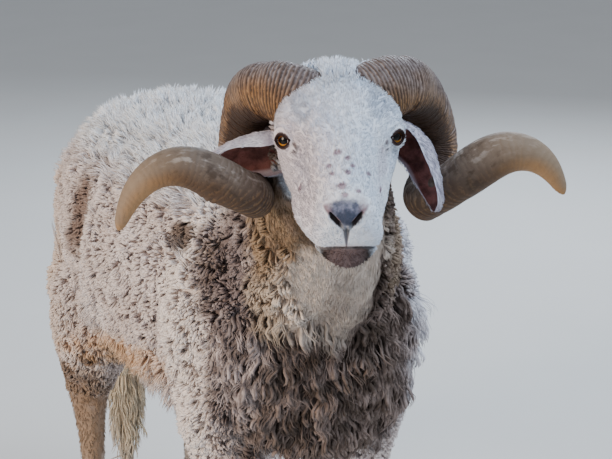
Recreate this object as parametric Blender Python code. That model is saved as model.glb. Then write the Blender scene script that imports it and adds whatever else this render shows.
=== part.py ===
"""A life-size standing ram with open spiral horns, lop ears, a deep fleece and a long woolled tail.

Metres, +Z up. The body faces -Y, its left side is towards +X, and the head is turned to the ram's own right.
The origin is on the floor, under the middle of the ram's box. Head sizes are in the head's own frame:
across to the ram's left, along from between the eyes to the lips, and up from that line to the brow.
"""

import math
import random

import bpy
import bmesh
import numpy as np
from mathutils import Matrix, Vector

# Driving sizes, in metres and degrees.
SEED = 11
GAP = 0.0003  # between pieces that touch
FLAT_ENOUGH = 0.006  # radians between two faces that are taken as one
MIDDLE = (-0.0648, -0.1027)  # the middle of the whole ram's box, over the trunk's own lines
CORE_DEPTH = 0.022  # from the skin of the trunk to the top of its fleece's matted core
NECK_CORE = 0.013
LEG_CORE = 0.4  # share of a leg's wool that is matted core
TAIL_CORE = 0.66  # share of the tail's thickness that is core
HEAD_ORIGIN = (-0.112, -0.600, 0.925)  # midway between the eyes
HEAD_TURN = 22.0  # to the ram's right, about the vertical
HEAD_PITCH = 18.0  # the line from eyes to lips, below the level
HEAD_ROLL = 1.2  # left side up
JAW_TAPER = ((0.06, 0.13), (1.45, 1.22))  # along, and how far the jaw draws in: 1 is an ellipse
EYE_PLACE = (0.0580, 0.008, 0.006)
EYE_RADIUS = 0.0145
HOOF_TOP = 0.042
CLAW = (0.062, 0.0235)  # length and width of the sole
CLAW_RINGS = ((0.0, 1.0, -0.002), (0.010, 1.0, -0.001), (0.028, 0.93, 0.002), (HOOF_TOP - GAP, 0.84, 0.005))
CLEFT = 0.0016  # from the foot's middle to each claw

# Trunk skin: place along Y, half width, top, bottom.
TRUNK = (
    (-0.350, 0.030, 0.600, 0.540),
    (-0.330, 0.085, 0.665, 0.480),
    (-0.265, 0.132, 0.750, 0.432),
    (-0.160, 0.158, 0.792, 0.416),
    (0.000, 0.172, 0.792, 0.420),
    (0.140, 0.174, 0.794, 0.434),
    (0.245, 0.160, 0.792, 0.465),
    (0.325, 0.134, 0.760, 0.500),
    (0.372, 0.096, 0.706, 0.560),
    (0.388, 0.040, 0.665, 0.610),
)
# Neck skin, from inside the shoulders to the nape: across, along Y, up, half width, half depth.
NECK = (
    (0.000, -0.150, 0.600, 0.120, 0.150),
    (-0.002, -0.235, 0.650, 0.112, 0.140),
    (-0.016, -0.320, 0.715, 0.094, 0.118),
    (-0.044, -0.400, 0.790, 0.074, 0.094),
    (-0.070, -0.465, 0.850, 0.060, 0.080),
    (-0.088, -0.520, 0.892, 0.050, 0.070),
)
# Legs from the top: up, along Y, across, half width, half depth, wool over the skin.
FORELEG = (
    (0.600, -0.245, 0.085, 0.045, 0.075, 0.034),
    (0.500, -0.228, 0.096, 0.046, 0.070, 0.036),
    (0.440, -0.222, 0.098, 0.040, 0.056, 0.034),
    (0.360, -0.222, 0.096, 0.031, 0.039, 0.026),
    (0.290, -0.228, 0.094, 0.026, 0.030, 0.017),
    (0.265, -0.231, 0.093, 0.028, 0.032, 0.010),
    (0.235, -0.228, 0.093, 0.022, 0.026, 0.006),
    (0.190, -0.224, 0.093, 0.0165, 0.019, 0.003),
    (0.130, -0.224, 0.094, 0.0165, 0.020, 0.000),
    (0.105, -0.226, 0.095, 0.0205, 0.025, 0.000),
    (0.075, -0.235, 0.096, 0.0180, 0.021, 0.000),
    (HOOF_TOP, -0.246, 0.097, 0.0255, 0.0300, 0.000),
)
HINDLEG = (
    (0.680, 0.240, 0.080, 0.055, 0.090, 0.030),
    (0.600, 0.252, 0.094, 0.066, 0.110, 0.030),
    (0.520, 0.268, 0.108, 0.060, 0.102, 0.034),
    (0.450, 0.290, 0.120, 0.050, 0.080, 0.036),
    (0.380, 0.318, 0.122, 0.037, 0.056, 0.034),
    (0.320, 0.350, 0.120, 0.026, 0.040, 0.026),
    (0.285, 0.364, 0.119, 0.0245, 0.035, 0.018),
    (0.250, 0.361, 0.119, 0.021, 0.028, 0.012),
    (0.200, 0.354, 0.119, 0.0175, 0.021, 0.009),
    (0.130, 0.347, 0.120, 0.0170, 0.020, 0.004),
    (0.105, 0.343, 0.121, 0.0210, 0.025, 0.000),
    (0.075, 0.334, 0.122, 0.0180, 0.021, 0.000),
    (HOOF_TOP, 0.324, 0.123, 0.0255, 0.0300, 0.000),
)
# How far out and back the left hooves stand from the mirror of the right ones.
LEFT_FORE_STEP = (0.012, -0.010)
LEFT_HIND_STEP = (-0.040, 0.062)
# Head: along, top, height of the widest place, bottom, half width.
HEAD = (
    (-0.125, 0.020, -0.020, -0.080, 0.048),
    (-0.100, 0.044, -0.010, -0.108, 0.062),
    (-0.070, 0.055, 0.000, -0.122, 0.069),
    (-0.040, 0.060, 0.004, -0.126, 0.074),
    (-0.018, 0.058, 0.004, -0.121, 0.0765),
    (0.002, 0.052, 0.000, -0.112, 0.0715),
    (0.018, 0.047, -0.010, -0.102, 0.0640),
    (0.040, 0.042, -0.024, -0.094, 0.0570),
    (0.065, 0.035, -0.034, -0.087, 0.0505),
    (0.090, 0.026, -0.039, -0.082, 0.0435),
    (0.110, 0.017, -0.041, -0.080, 0.0385),
    (0.128, 0.009, -0.040, -0.079, 0.0375),
    (0.142, 0.000, -0.040, -0.080, 0.0365),
    (0.151, -0.010, -0.041, -0.078, 0.0320),
    (0.157, -0.022, -0.043, -0.072, 0.0230),
    (0.160, -0.038, -0.046, -0.056, 0.0090),
)
# Swellings and hollows of the face: along, across, up, reach, height.
FACE_FORMS = (
    (-0.004, 0.064, 0.028, 0.016, 0.0055),
    (0.032, 0.046, 0.000, 0.018, -0.0045),
    (0.000, 0.050, -0.075, 0.030, 0.0045),
    (0.141, 0.026, -0.012, 0.012, 0.0030),
    (0.146, 0.024, -0.033, 0.012, 0.0030),
    (0.145, 0.000, -0.064, 0.014, 0.0035),
    (0.040, 0.000, 0.040, 0.040, 0.0040),
)
# Horn, level with the head and from between the eyes: out, back, up, half thickness, share of it across.
HORN = (
    (0.022, 0.050, 0.031, 0.036, 0.92),
    (0.050, 0.050, 0.045, 0.037, 0.92),
    (0.077, 0.068, 0.047, 0.036, 0.90),
    (0.101, 0.104, 0.032, 0.035, 0.88),
    (0.115, 0.142, -0.002, 0.033, 0.85),
    (0.119, 0.156, -0.040, 0.031, 0.85),
    (0.111, 0.136, -0.076, 0.030, 0.85),
    (0.099, 0.090, -0.089, 0.029, 0.88),
    (0.099, 0.044, -0.077, 0.027, 0.90),
    (0.122, 0.020, -0.065, 0.0265, 0.92),
    (0.152, 0.010, -0.048, 0.026, 0.90),
    (0.182, 0.008, -0.036, 0.024, 0.88),
    (0.210, 0.008, -0.036, 0.020, 0.88),
    (0.234, 0.010, -0.051, 0.016, 0.90),
    (0.251, 0.012, -0.077, 0.011, 0.95),
    (0.261, 0.013, -0.106, 0.0050, 1.00),
)
HORN_TIP_LIFT = 0.026  # how much higher the left tip stands than the right one
HORN_LEFT_SPREAD = 0.010  # how much further out the left horn's curl goes
HORN_LEFT_SAG = 0.011  # how much lower it hangs between the curl and the tip
HORN_LEFT_SWELL = 0.13  # share by which it is thicker there
# Ears in the same frame: out, back, up, half width, depth of the cup.
EAR_RIGHT = (
    (0.052, 0.046, -0.018, 0.016, 0.012),
    (0.070, 0.056, -0.021, 0.020, 0.012),
    (0.095, 0.068, -0.027, 0.024, 0.012),
    (0.122, 0.076, -0.033, 0.026, 0.010),
    (0.146, 0.080, -0.044, 0.021, 0.007),
    (0.164, 0.080, -0.056, 0.008, 0.002),
)
EAR_LEFT = (
    (0.052, 0.046, -0.014, 0.016, 0.012),
    (0.070, 0.044, -0.014, 0.020, 0.012),
    (0.088, 0.028, -0.026, 0.023, 0.012),
    (0.099, 0.004, -0.046, 0.022, 0.010),
    (0.104, -0.018, -0.068, 0.017, 0.007),
    (0.106, -0.032, -0.088, 0.008, 0.002),
)
EAR_OPENING = {1: (-0.70, -0.70, 0.05), -1: (0.0, -0.70, -0.70)}  # the way each cup faces
# Tail: across, along Y, up, half width, half depth.
TAIL = (
    (0.000, 0.365, 0.672, 0.026, 0.020),
    (0.000, 0.422, 0.662, 0.030, 0.024),
    (0.000, 0.466, 0.612, 0.036, 0.028),
    (0.000, 0.478, 0.530, 0.040, 0.028),
    (-0.002, 0.480, 0.430, 0.042, 0.028),
    (-0.005, 0.484, 0.310, 0.043, 0.028),
    (-0.008, 0.488, 0.200, 0.038, 0.025),
    (-0.010, 0.488, 0.114, 0.014, 0.012),
)
SCROTUM = ((0.0, 0.262, 0.390), (0.036, 0.042, 0.075))  # middle, half sizes

# Clumps of fleece: half sizes along the hang, across and outwards, how far out the middle sits, and spacing.
TRUNK_CLUMP = (0.080, 0.072, 0.036, 0.016, 0.100)
NECK_CLUMP = (0.056, 0.050, 0.027, 0.011, 0.078)
LEG_CLUMP = (0.058, 0.040, 0.022, 0.010, 0.080)
# Locks: length, width, thickness, how far the tip stands out, and spacing.
CHEST_LOCK = (0.150, 0.074, 0.028, 0.022, 0.080)
THROAT_LOCK = (0.125, 0.064, 0.024, 0.016, 0.076)
FRINGE_LOCK = (0.125, 0.066, 0.026, 0.020, 0.092)
ELBOW_LOCK = (0.130, 0.075, 0.034, 0.016)
TAIL_LOCK = (0.110, 0.042, 0.018, 0.006, 0.058)
POLL_CLUMP = (0.024, 0.018, 0.007, -0.001, 0.020)
ELBOW_ROOTS = ((0.158, -0.275, 0.470), (0.168, -0.225, 0.475), (0.172, -0.170, 0.470))
SHEATH = ((0.0, 0.100, 0.408), (0.020, 0.045, 0.026))  # middle, half sizes

# Face.
EYE_TURN = 40.0  # how far outwards from straight ahead an eye looks
EYE_OPENING = (0.0122, 0.0092)  # half width and half height between the lids
LID_THICKNESS = 0.0030
NOSTRIL_PLACE = (0.0132, 0.1525, -0.0145)
NOSTRIL_HALF = (0.0086, 0.0034, 0.0075)  # along the slit, across it, inwards
MOUTH_LEVEL = -0.0505
MOUTH_CORNER = 0.112  # how far along the head the corners of the mouth are

# Parting places.
NECK_CUT = ((0.0, -0.305, 0.690), (0.0, 0.80, -0.60))  # point, way to the trunk
HEAD_CUT_BACK = 0.098
HEAD_CUT_DOWN = 0.042
HEAD_CUT_WAY = (0.22, 0.80, -0.56)
FORELEG_CUT = (-0.345, -0.125, 0.385, 0.40)  # along Y from, to, height at the inner side, slope outwards
HINDLEG_CUT = (0.130, 0.470, 0.405, 0.60)
LEG_CUT_INNER = 0.040

# Colour, roughness.
LOOKS = {
    "fleece": ((0.78, 0.72, 0.62), 0.95),
    "face": ((0.86, 0.86, 0.88), 0.85),
    "horn": ((0.42, 0.32, 0.23), 0.55),
    "eye": ((0.55, 0.28, 0.06), 0.15),
    "hoof": ((0.16, 0.13, 0.11), 0.50),
    "skin": ((0.30, 0.20, 0.17), 0.75),
}


def clear_scene():
    """Removes whatever the file holds."""
    for obj in list(bpy.data.objects):
        bpy.data.objects.remove(obj)


def new_collection(name):
    made = bpy.data.collections.new(name)
    bpy.context.scene.collection.children.link(made)
    return made


def spline(table, at):
    """Rows of a table read at places along its first column, on a smooth curve through every row."""
    table = np.asarray(table, float)
    if table[0, 0] > table[-1, 0]:
        table = table[::-1]
    keys, rows = table[:, 0], table[:, 1:]
    slope = np.gradient(rows, keys, axis=0)
    at = np.clip(at, keys[0], keys[-1])
    index = np.clip(np.searchsorted(keys, at, side="right") - 1, 0, len(keys) - 2)
    step = (keys[index + 1] - keys[index])[:, None]
    t = (at - keys[index])[:, None] / step
    from_start = (2 * t**3 - 3 * t**2 + 1) * rows[index] + (t**3 - 2 * t**2 + t) * step * slope[index]
    to_end = (3 * t**2 - 2 * t**3) * rows[index + 1] + (t**3 - t**2) * step * slope[index + 1]
    return from_start + to_end


def along_path(table, count):
    """Rows of a table of points read evenly along the path that its first three columns make."""
    table = np.asarray(table, float)
    keys = np.concatenate([[0], np.cumsum(np.linalg.norm(np.diff(table[:, :3], axis=0), axis=1))])
    return spline(np.column_stack([keys, table]), np.linspace(0, keys[-1], count))


def turns(sides):
    return np.linspace(0, 2 * math.pi, sides, endpoint=False)


def signed_power(x, power):
    return np.sign(x) * np.abs(x) ** power


def new_object(name, points, faces):
    """A mesh object whose four-sided faces are all split from their first corner to their third."""
    split = [tri for f in faces for tri in ([f] if len(f) == 3 else [(f[0], f[1], f[2]), (f[0], f[2], f[3])])]
    mesh = bpy.data.meshes.new(name)
    mesh.from_pydata([tuple(p) for p in points], [], split)
    made = bmesh.new()
    made.from_mesh(mesh)
    bmesh.ops.recalc_face_normals(made, faces=made.faces)
    made.to_mesh(mesh)
    made.free()
    obj = bpy.data.objects.new(name, mesh)
    bpy.context.scene.collection.objects.link(obj)
    return obj


def loft(name, rings):
    """Skins rings of equal length between unlike sections, and closes each end with a fan to its middle."""
    rings = np.asarray(rings, float)
    count, sides = rings.shape[:2]
    points = np.vstack([rings.reshape(-1, 3), rings[0].mean(0), rings[-1].mean(0)])
    first, last = count * sides, count * sides + 1
    faces = []
    for j in range(sides):
        k = (j + 1) % sides
        for i in range(count - 1):
            faces.append((i * sides + j, i * sides + k, (i + 1) * sides + k, (i + 1) * sides + j))
        faces.append((first, k, j))
        faces.append((last, (count - 1) * sides + j, (count - 1) * sides + k))
    return new_object(name, points, faces)


def ellipse_rings(path, half_widths, half_depths, sides, hint):
    """Ellipse rings square to a path, their width as near to the hint as they can be."""
    along = np.gradient(path, axis=0)
    along /= np.linalg.norm(along, axis=1)[:, None]
    hint = np.broadcast_to(np.asarray(hint, float), along.shape)
    side = hint - along * (along * hint).sum(1)[:, None]
    side /= np.linalg.norm(side, axis=1)[:, None]
    over = np.cross(along, side)
    angle = turns(sides)
    wide = np.sin(angle)[None, :, None] * half_widths[:, None, None] * side[:, None]
    deep = np.cos(angle)[None, :, None] * half_depths[:, None, None] * over[:, None]
    return path[:, None] + wide + deep


def trunk_rings(extra, rings=13, sides=16):
    """Cross-sections of the trunk, grown outwards by extra."""
    start, end = TRUNK[0][0], TRUNK[-1][0]
    y = start + (end - start) * (0.5 - 0.5 * np.cos(np.linspace(0, math.pi, rings)))
    half, top, bottom = spline(TRUNK, y).T[:, :, None]
    middle = (top + bottom) / 2 + 0.04 * (top - bottom)
    up = np.cos(turns(sides))
    x = (half + extra) * signed_power(np.sin(turns(sides)), 0.9)
    z = middle + (np.where(up > 0, top - middle, middle - bottom) + extra) * signed_power(up, 0.95)
    y = y + extra * np.interp(y, [start, start + 0.10, end - 0.10, end], [-1, 0, 0, 1])
    return np.stack([x, np.broadcast_to(y[:, None], x.shape), z], 2)


def neck_rings(extra, rings=9, sides=16):
    rows = along_path(NECK, rings)
    turn = math.radians(HEAD_TURN) * 0.5
    hint = (math.cos(turn), -math.sin(turn), 0)
    return ellipse_rings(rows[:, :3], rows[:, 3] + extra, rows[:, 4] + extra, sides, hint)


def stance(table, side):
    """A leg's rows, with the left ones led to where they stand."""
    rows = np.array(table)
    if side > 0:
        out, back = LEFT_HIND_STEP if table is HINDLEG else LEFT_FORE_STEP
        share = np.clip(1 - rows[:, 0] / rows[0, 0], 0, 1)
        rows[:, 2] += out * share
        rows[:, 1] += back * share
    return rows


def leg_rings(table, side, share, rings=16, sides=9):
    """Cross-sections of one leg, grown by a share of its wool."""
    rows = np.column_stack([np.arange(len(table)), stance(table, side)])
    rows = spline(rows, np.linspace(0, len(table) - 1, rings))
    angle = turns(sides)
    wool = rows[:, 5] * share
    x = side * rows[:, 2, None] + (rows[:, 3] + wool)[:, None] * np.sin(angle)
    y = rows[:, 1, None] + (rows[:, 4] + wool)[:, None] * np.cos(angle)
    z = np.broadcast_to(rows[:, 0, None], x.shape)
    return np.stack([x, y, z], 2)


def hoof(name, table, side, claw):
    """One claw: a wedge with a flat sole, its toe forwards and its inner wall beside the cleft."""
    length, width = CLAW
    y_foot, x_foot = stance(table, side)[-1, 1:3] * (1, side)
    angle = turns(10)
    rings = []
    for z, share, back in CLAW_RINGS:
        y = -np.cos(angle) * length / 2 * share
        toe = np.interp(y, [-length / 2, length / 2], [0.72, 1.0])
        x = (0.5 - 0.5 * np.sin(angle)) * width * share * toe
        rings.append(np.stack([x_foot + claw * (CLEFT + x), y_foot + y + back, np.full(10, z)], 1))
    return loft(name, rings)


def head_matrix():
    """From the head's across, back and up to the world."""
    turn = Matrix.Rotation(-math.radians(HEAD_TURN), 4, "Z")
    nod = Matrix.Rotation(math.radians(HEAD_PITCH), 4, "X")
    roll = Matrix.Rotation(-math.radians(HEAD_ROLL), 4, "Y")
    return Matrix.Translation(HEAD_ORIGIN) @ turn @ roll @ nod


def level_matrix():
    """From out, back and up beside the head, level, to the world."""
    turn = Matrix.Rotation(-math.radians(HEAD_TURN), 4, "Z")
    roll = Matrix.Rotation(-math.radians(HEAD_ROLL), 4, "Y")
    return Matrix.Translation(HEAD_ORIGIN) @ turn @ roll


def head(rings=24, sides=24):
    start = HEAD[0][0]
    places = np.concatenate([np.linspace(start, 0.128, rings - 7, endpoint=False),
                             [0.128, 0.138, 0.146, 0.152, 0.156, 0.159, 0.160]])
    top, wide, bottom, half = spline(HEAD, places).T[:, :, None]
    up = np.cos(turns(sides))
    taper = np.interp(places, *JAW_TAPER)[:, None]
    x = half * signed_power(np.sin(turns(sides)), np.where(up > 0, 1.0, taper))
    z = wide + np.where(up > 0, top - wide, wide - bottom) * signed_power(up, 0.9)
    a = np.broadcast_to(places[:, None], x.shape)
    out = np.stack([x / half, np.zeros_like(x), (z - wide) / (top - bottom)], 2)
    out /= np.linalg.norm(out, axis=2)[..., None]
    for along, across, height, reach, rise in FACE_FORMS:
        distance = (a - along) ** 2 + (np.abs(x) - across) ** 2 + (z - height) ** 2
        lift = rise * np.exp(-distance / reach**2)
        x = x + out[..., 0] * lift
        z = z + out[..., 2] * lift
    obj = loft("head", np.stack([x, -a, z], 2))
    obj.data.transform(head_matrix())
    return obj


def carried_frames(path, start_side):
    """Unit directions along a path, and one across it that is carried along without twist."""
    along = np.gradient(path, axis=0)
    along /= np.linalg.norm(along, axis=1)[:, None]
    side = np.asarray(start_side, float)
    sides = []
    for direction in along:
        side = side - direction * np.dot(side, direction)
        side /= np.linalg.norm(side)
        sides.append(side)
    return along, np.array(sides)


def eased(rows, passes):
    """Rows with each drawn towards its neighbours' middle, the ends kept."""
    for _ in range(passes):
        rows[1:-1] = 0.25 * rows[:-2] + 0.5 * rows[1:-1] + 0.25 * rows[2:]
    return rows


def horn(name, side, steps=38, sides=10):
    rows = eased(along_path(HORN, steps), 3)
    share = np.linspace(0, 1, steps)
    if side > 0:
        rows[:, 2] += HORN_TIP_LIFT * np.clip((share - 0.60) / 0.40, 0, 1) ** 1.3
        rows[:, 2] -= HORN_LEFT_SAG * np.sin(math.pi * np.clip((share - 0.38) / 0.42, 0, 1))
        rows[:, 3] *= 1 + HORN_LEFT_SWELL * np.sin(math.pi * np.clip((share - 0.50) / 0.50, 0, 1))
        curl = np.sin(math.pi * np.clip((share - 0.1) / 0.6, 0, 1))
        rows[:, 0] += HORN_LEFT_SPREAD * (curl + 0.6 * share**4)
    path = rows[:, :3] * (side, 1, 1)
    half, flat = rows[:, 3], rows[:, 4]
    along, across = carried_frames(path, (0, 1, 0))
    over = np.cross(along, across)
    angle = turns(sides)
    rings = [p + r * np.outer(np.cos(angle), o) + r * f * np.outer(np.sin(angle), a)
             for p, r, f, a, o in zip(path, half, flat, across, over)]
    obj = loft(name, rings)
    obj.data.transform(level_matrix())
    return obj


def sheet_solid(name, back, face):
    """A closed leaf between two grids of points: its two faces and a rim all round."""
    rows, columns = back.shape[:2]
    other = rows * columns
    faces = []
    for i in range(rows - 1):
        for j in range(columns - 1):
            corner = i * columns + j
            faces.append((corner, corner + 1, corner + columns + 1, corner + columns))
            corner += other
            faces.append((corner, corner + columns, corner + columns + 1, corner + 1))
    rim = list(range(columns)) + [i * columns + columns - 1 for i in range(1, rows)]
    rim += [(rows - 1) * columns + j for j in range(columns - 2, -1, -1)]
    rim += [i * columns for i in range(rows - 2, 0, -1)]
    faces += [(rim[k], rim[k - 1], rim[k - 1] + other, rim[k] + other) for k in range(len(rim))]
    return new_object(name, np.vstack([back.reshape(-1, 3), face.reshape(-1, 3)]), faces)


def ear(name, side, rings=8, columns=7):
    """A leaf of skin bent to a cup that opens forwards."""
    rows = along_path(EAR_LEFT if side > 0 else EAR_RIGHT, rings)
    path = rows[:, :3] * (side, 1, 1)
    along = np.gradient(path, axis=0)
    along /= np.linalg.norm(along, axis=1)[:, None]
    front = np.array(EAR_OPENING[side])
    front = front - along * (along @ front)[:, None]
    front /= np.linalg.norm(front, axis=1)[:, None]
    across = np.cross(along, front)
    t = np.linspace(-1, 1, columns)
    share = np.linspace(0, 1, rings)
    thick = (0.0055 - 0.0030 * share)[:, None] * (1 - 0.45 * t**2)
    wide = rows[:, 3, None] * t
    cup = -rows[:, 4][:, None] * (1 - t**2)
    back = path[:, None] + wide[..., None] * across[:, None] + (cup - thick / 2)[..., None] * front[:, None]
    face = path[:, None] + wide[..., None] * across[:, None] + (cup + thick / 2)[..., None] * front[:, None]
    obj = sheet_solid(name, back, face)
    obj.data.transform(level_matrix())
    return obj


def ball(name, place, radii, matrix=None, segments=14, rings=10):
    made = bmesh.new()
    bmesh.ops.create_uvsphere(made, u_segments=segments, v_segments=rings, radius=1.0)
    mesh = bpy.data.meshes.new(name)
    made.to_mesh(mesh)
    made.free()
    mesh.transform(Matrix.Translation(place) @ Matrix.Diagonal((*radii, 1)))
    if matrix is not None:
        mesh.transform(matrix)
    obj = bpy.data.objects.new(name, mesh)
    bpy.context.scene.collection.objects.link(obj)
    return obj


def eye_place(side):
    """The middle of an eyeball, in the head's across, back and up."""
    across, along, up = EYE_PLACE
    return (side * across, -along, up)


def axes_matrix(place, first, second, third):
    """From three directions and a place to the frame they are given in."""
    return Matrix.Translation(place) @ Matrix([list(first), list(second), list(third)]).transposed().to_4x4()


def lid_opening(side):
    """The space in front of an eyeball between its lids, widening outwards."""
    turn = math.radians(EYE_TURN)
    ahead = np.array([side * math.sin(turn), -math.cos(turn), 0.0])
    across = np.array([side * math.cos(turn), math.sin(turn), 0.12])
    across /= np.linalg.norm(across)
    up = np.cross(ahead, across) * side
    angle = turns(10)
    rings = []
    for depth, size in ((0.004, 0.9), (0.0135, 1.0), (0.024, 1.7)):
        wide = EYE_OPENING[0] * size * np.cos(angle)
        high = EYE_OPENING[1] * size * np.sin(angle) * (1 - 0.25 * np.cos(angle) ** 2)
        rings.append(np.array(eye_place(side)) + ahead * depth + np.outer(wide, across) + np.outer(high, up))
    obj = loft("opening", rings)
    obj.data.transform(head_matrix())
    return obj


def nostril(side):
    """The hollow of a nostril: a slit that slants up and outwards from beside the lip's cleft."""
    across, along, up = NOSTRIL_PLACE
    length = Vector((side * 0.70, 0.50, 0.50)).normalized()
    inwards = Vector((side * 0.35, -0.85, 0.30))
    inwards = (inwards - length * inwards.dot(length)).normalized()
    matrix = head_matrix() @ axes_matrix((side * across, -along, up), length, inwards.cross(length), inwards)
    return ball("nostril", (0, 0, 0), NOSTRIL_HALF, matrix, 7, 5)


def mouth_line():
    """A thin hoop along the lips, from one corner of the mouth round the muzzle to the other."""
    places = np.concatenate([np.linspace(MOUTH_CORNER, 0.148, 4), [0.1545, 0.1575]])
    top, wide, bottom, half = spline(HEAD, places).T
    level = MOUTH_LEVEL + 0.10 * (0.150 - places)
    down = np.clip((wide - level) / (wide - bottom), 0, 0.98) ** (1 / 0.9)
    x = half * (1 - down**2) ** (np.interp(places, *JAW_TAPER) / 2)
    right = np.stack([-x, -places, level], 1)
    path = np.vstack([right, [(0, -0.1590, MOUTH_LEVEL)], right[::-1] * (-1, 1, 1)])
    size = np.clip(np.minimum(np.arange(len(path)), np.arange(len(path))[::-1]) / 2, 0.3, 1)
    obj = loft("mouth", ellipse_rings(path, 0.0042 * size, 0.0013 * size, 4, path * (1, 1, 0) + (0, 0.10, 0)))
    obj.data.transform(head_matrix())
    return obj


def lie(grid):
    """Points of a closed surface's rings, and the way outwards and the way wool hangs at each."""
    out = np.cross(np.gradient(grid, axis=0), np.roll(grid, -1, axis=1) - np.roll(grid, 1, axis=1))
    out /= np.linalg.norm(out, axis=2)[..., None]
    out *= np.sign((out * (grid - grid.mean(1)[:, None])).sum(2))[..., None]
    hang = np.array([0, 0.35, -1.0]) - out * (out @ [0, 0.35, -1.0])[..., None]
    hang /= np.linalg.norm(hang, axis=2)[..., None]
    return grid.reshape(-1, 3), out.reshape(-1, 3), hang.reshape(-1, 3)


def spread(points, spacing, source):
    """Some of the points, each the farthest from those before it, till none is farther than the spacing."""
    kept = [source.randrange(len(points))]
    distance = np.linalg.norm(points - points[kept[0]], axis=1)
    while distance.max() >= spacing:
        kept.append(int(distance.argmax()))
        distance = np.minimum(distance, np.linalg.norm(points - points[kept[-1]], axis=1))
    return kept


def clump(place, out, hang, sizes, source):
    """A rounded, slightly flattened clump of fleece."""
    size = source.uniform(0.88, 1.12)
    turn = source.uniform(-0.5, 0.5)
    across = np.cross(hang, out)
    first = math.cos(turn) * hang + math.sin(turn) * across
    matrix = axes_matrix(place + out * sizes[3], first, np.cross(out, first), out)
    return ball("clump", (0, 0, 0), [s * size for s in sizes[:3]], matrix, 6, 4)


def lock(place, out, hang, sizes, source):
    """A flat lock that starts under the surface, bends over and tapers to its tip."""
    length, width, thickness, stand = sizes[:4]
    length *= source.uniform(0.85, 1.15)
    across = np.cross(hang, out)
    lean, sway = source.uniform(-0.16, 0.16), source.uniform(-0.16, 0.16)
    share = np.array([0.0, 0.5, 1.0])
    rise = np.array([-0.7 * thickness, 0.45 * thickness + 0.2 * stand, stand])
    path = place + np.outer(length * (share - 0.12), hang) + np.outer(rise, out)
    path = path + np.outer(length * (lean * share + sway * share**2), across)
    half = width / 2 * np.array([0.85, 1.0, 0.26])
    thin = thickness / 2 * np.array([1.0, 1.0, 0.40])
    return loft("lock", ellipse_rings(path, half, thin, 5, across))


def wool(grid, where, make, sizes, source):
    """Clumps or locks spread over the part of a surface that a test on its points picks."""
    points, out, hang = lie(grid)
    chosen = np.flatnonzero(where(points, out))
    picked = chosen[spread(points[chosen], sizes[4], source)]
    return [make(points[i], out[i], hang[i], sizes, source) for i in picked]


def down_tail(points, out):
    """Where locks grow on the tail: its back and sides, but for the root and the very tip."""
    return (points[:, 2] < 0.50) & (points[:, 2] > 0.18) & (out[:, 1] > -0.3)


def tail(name, source, rings=12, sides=10):
    """The tail's core with locks in tiers down its back and sides."""
    rows = along_path(TAIL, rings)
    core = ellipse_rings(rows[:, :3], rows[:, 3] * TAIL_CORE, rows[:, 4] * TAIL_CORE, sides, (1, 0, 0))
    rows = along_path(TAIL, 40)
    surface = ellipse_rings(rows[:, :3], rows[:, 3] * TAIL_CORE, rows[:, 4] * TAIL_CORE, 24, (1, 0, 0))
    return join(name, [loft(name, core)] + wool(surface, down_tail, lock, TAIL_LOCK, source))


def half_space(name, point, way, size=2.0):
    """A big block that fills the side of a plane that its way points to."""
    made = bmesh.new()
    bmesh.ops.create_cube(made, size=size)
    mesh = bpy.data.meshes.new(name)
    made.to_mesh(mesh)
    made.free()
    turn = Vector(way).to_track_quat("Z", "Y").to_matrix().to_4x4()
    mesh.transform(Matrix.Translation(Vector(point)) @ turn @ Matrix.Translation((0, 0, size / 2)))
    obj = bpy.data.objects.new(name, mesh)
    bpy.context.scene.collection.objects.link(obj)
    return obj


def leg_block(name, cut, side, grow):
    """The space of one leg: a block below a plane that slopes up outwards."""
    start, end, height, slope = cut
    inner, outer, low = LEG_CUT_INNER - grow, 0.5, -0.2
    rise = height + grow * math.hypot(1, slope)
    corners = ((inner, low), (outer, low), (outer, rise + slope * (outer - LEG_CUT_INNER)),
               (inner, rise + slope * (inner - LEG_CUT_INNER)))
    rings = [[(side * x, y, z) for x, z in corners] for y in (start - grow, end + grow)]
    return loft(name, rings)


def boolean(target, operation, operand):
    """Applies one Boolean to a mesh object; a collection joins all it holds at once."""
    modifier = target.modifiers.new("shape", "BOOLEAN")
    modifier.operation = operation
    modifier.solver = "MANIFOLD"
    if isinstance(operand, bpy.types.Collection):
        modifier.operand_type = "COLLECTION"
        modifier.collection = operand
    else:
        modifier.object = operand
    depsgraph = bpy.context.evaluated_depsgraph_get()
    result = bpy.data.meshes.new_from_object(target.evaluated_get(depsgraph))
    target.modifiers.clear()
    old = target.data
    target.data = result
    bpy.data.meshes.remove(old)


def join(name, pieces):
    """One closed body from overlapping closed pieces."""
    target = pieces[0]
    target.name = name
    if len(pieces) == 1:
        return target
    group = new_collection(name + "_pieces")
    for piece in pieces[1:]:
        for holder in piece.users_collection:
            holder.objects.unlink(piece)
        group.objects.link(piece)
    boolean(target, "UNION", group)
    for piece in list(group.objects):
        bpy.data.objects.remove(piece)
    bpy.data.collections.remove(group)
    return target


def copy_of(obj, name):
    made = bpy.data.objects.new(name, obj.data.copy())
    bpy.context.scene.collection.objects.link(made)
    return made


def socket_for(obj):
    """A copy of a piece grown by the gap all over, which leaves room for it where it is cut away."""
    made = bmesh.new()
    made.from_mesh(obj.data)
    made.normal_update()
    moves = [vert.normal * GAP * vert.calc_shell_factor() for vert in made.verts]
    for vert, move in zip(made.verts, moves):
        vert.co += move
    socket = copy_of(obj, "socket")
    made.to_mesh(socket.data)
    made.free()
    return socket


def cut(target, cutter, keep=False):
    """Takes a cutter away from a piece, or keeps only what is inside it, and uses the cutter up."""
    boolean(target, "INTERSECT" if keep else "DIFFERENCE", cutter)
    bpy.data.objects.remove(cutter)
    return target


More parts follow.
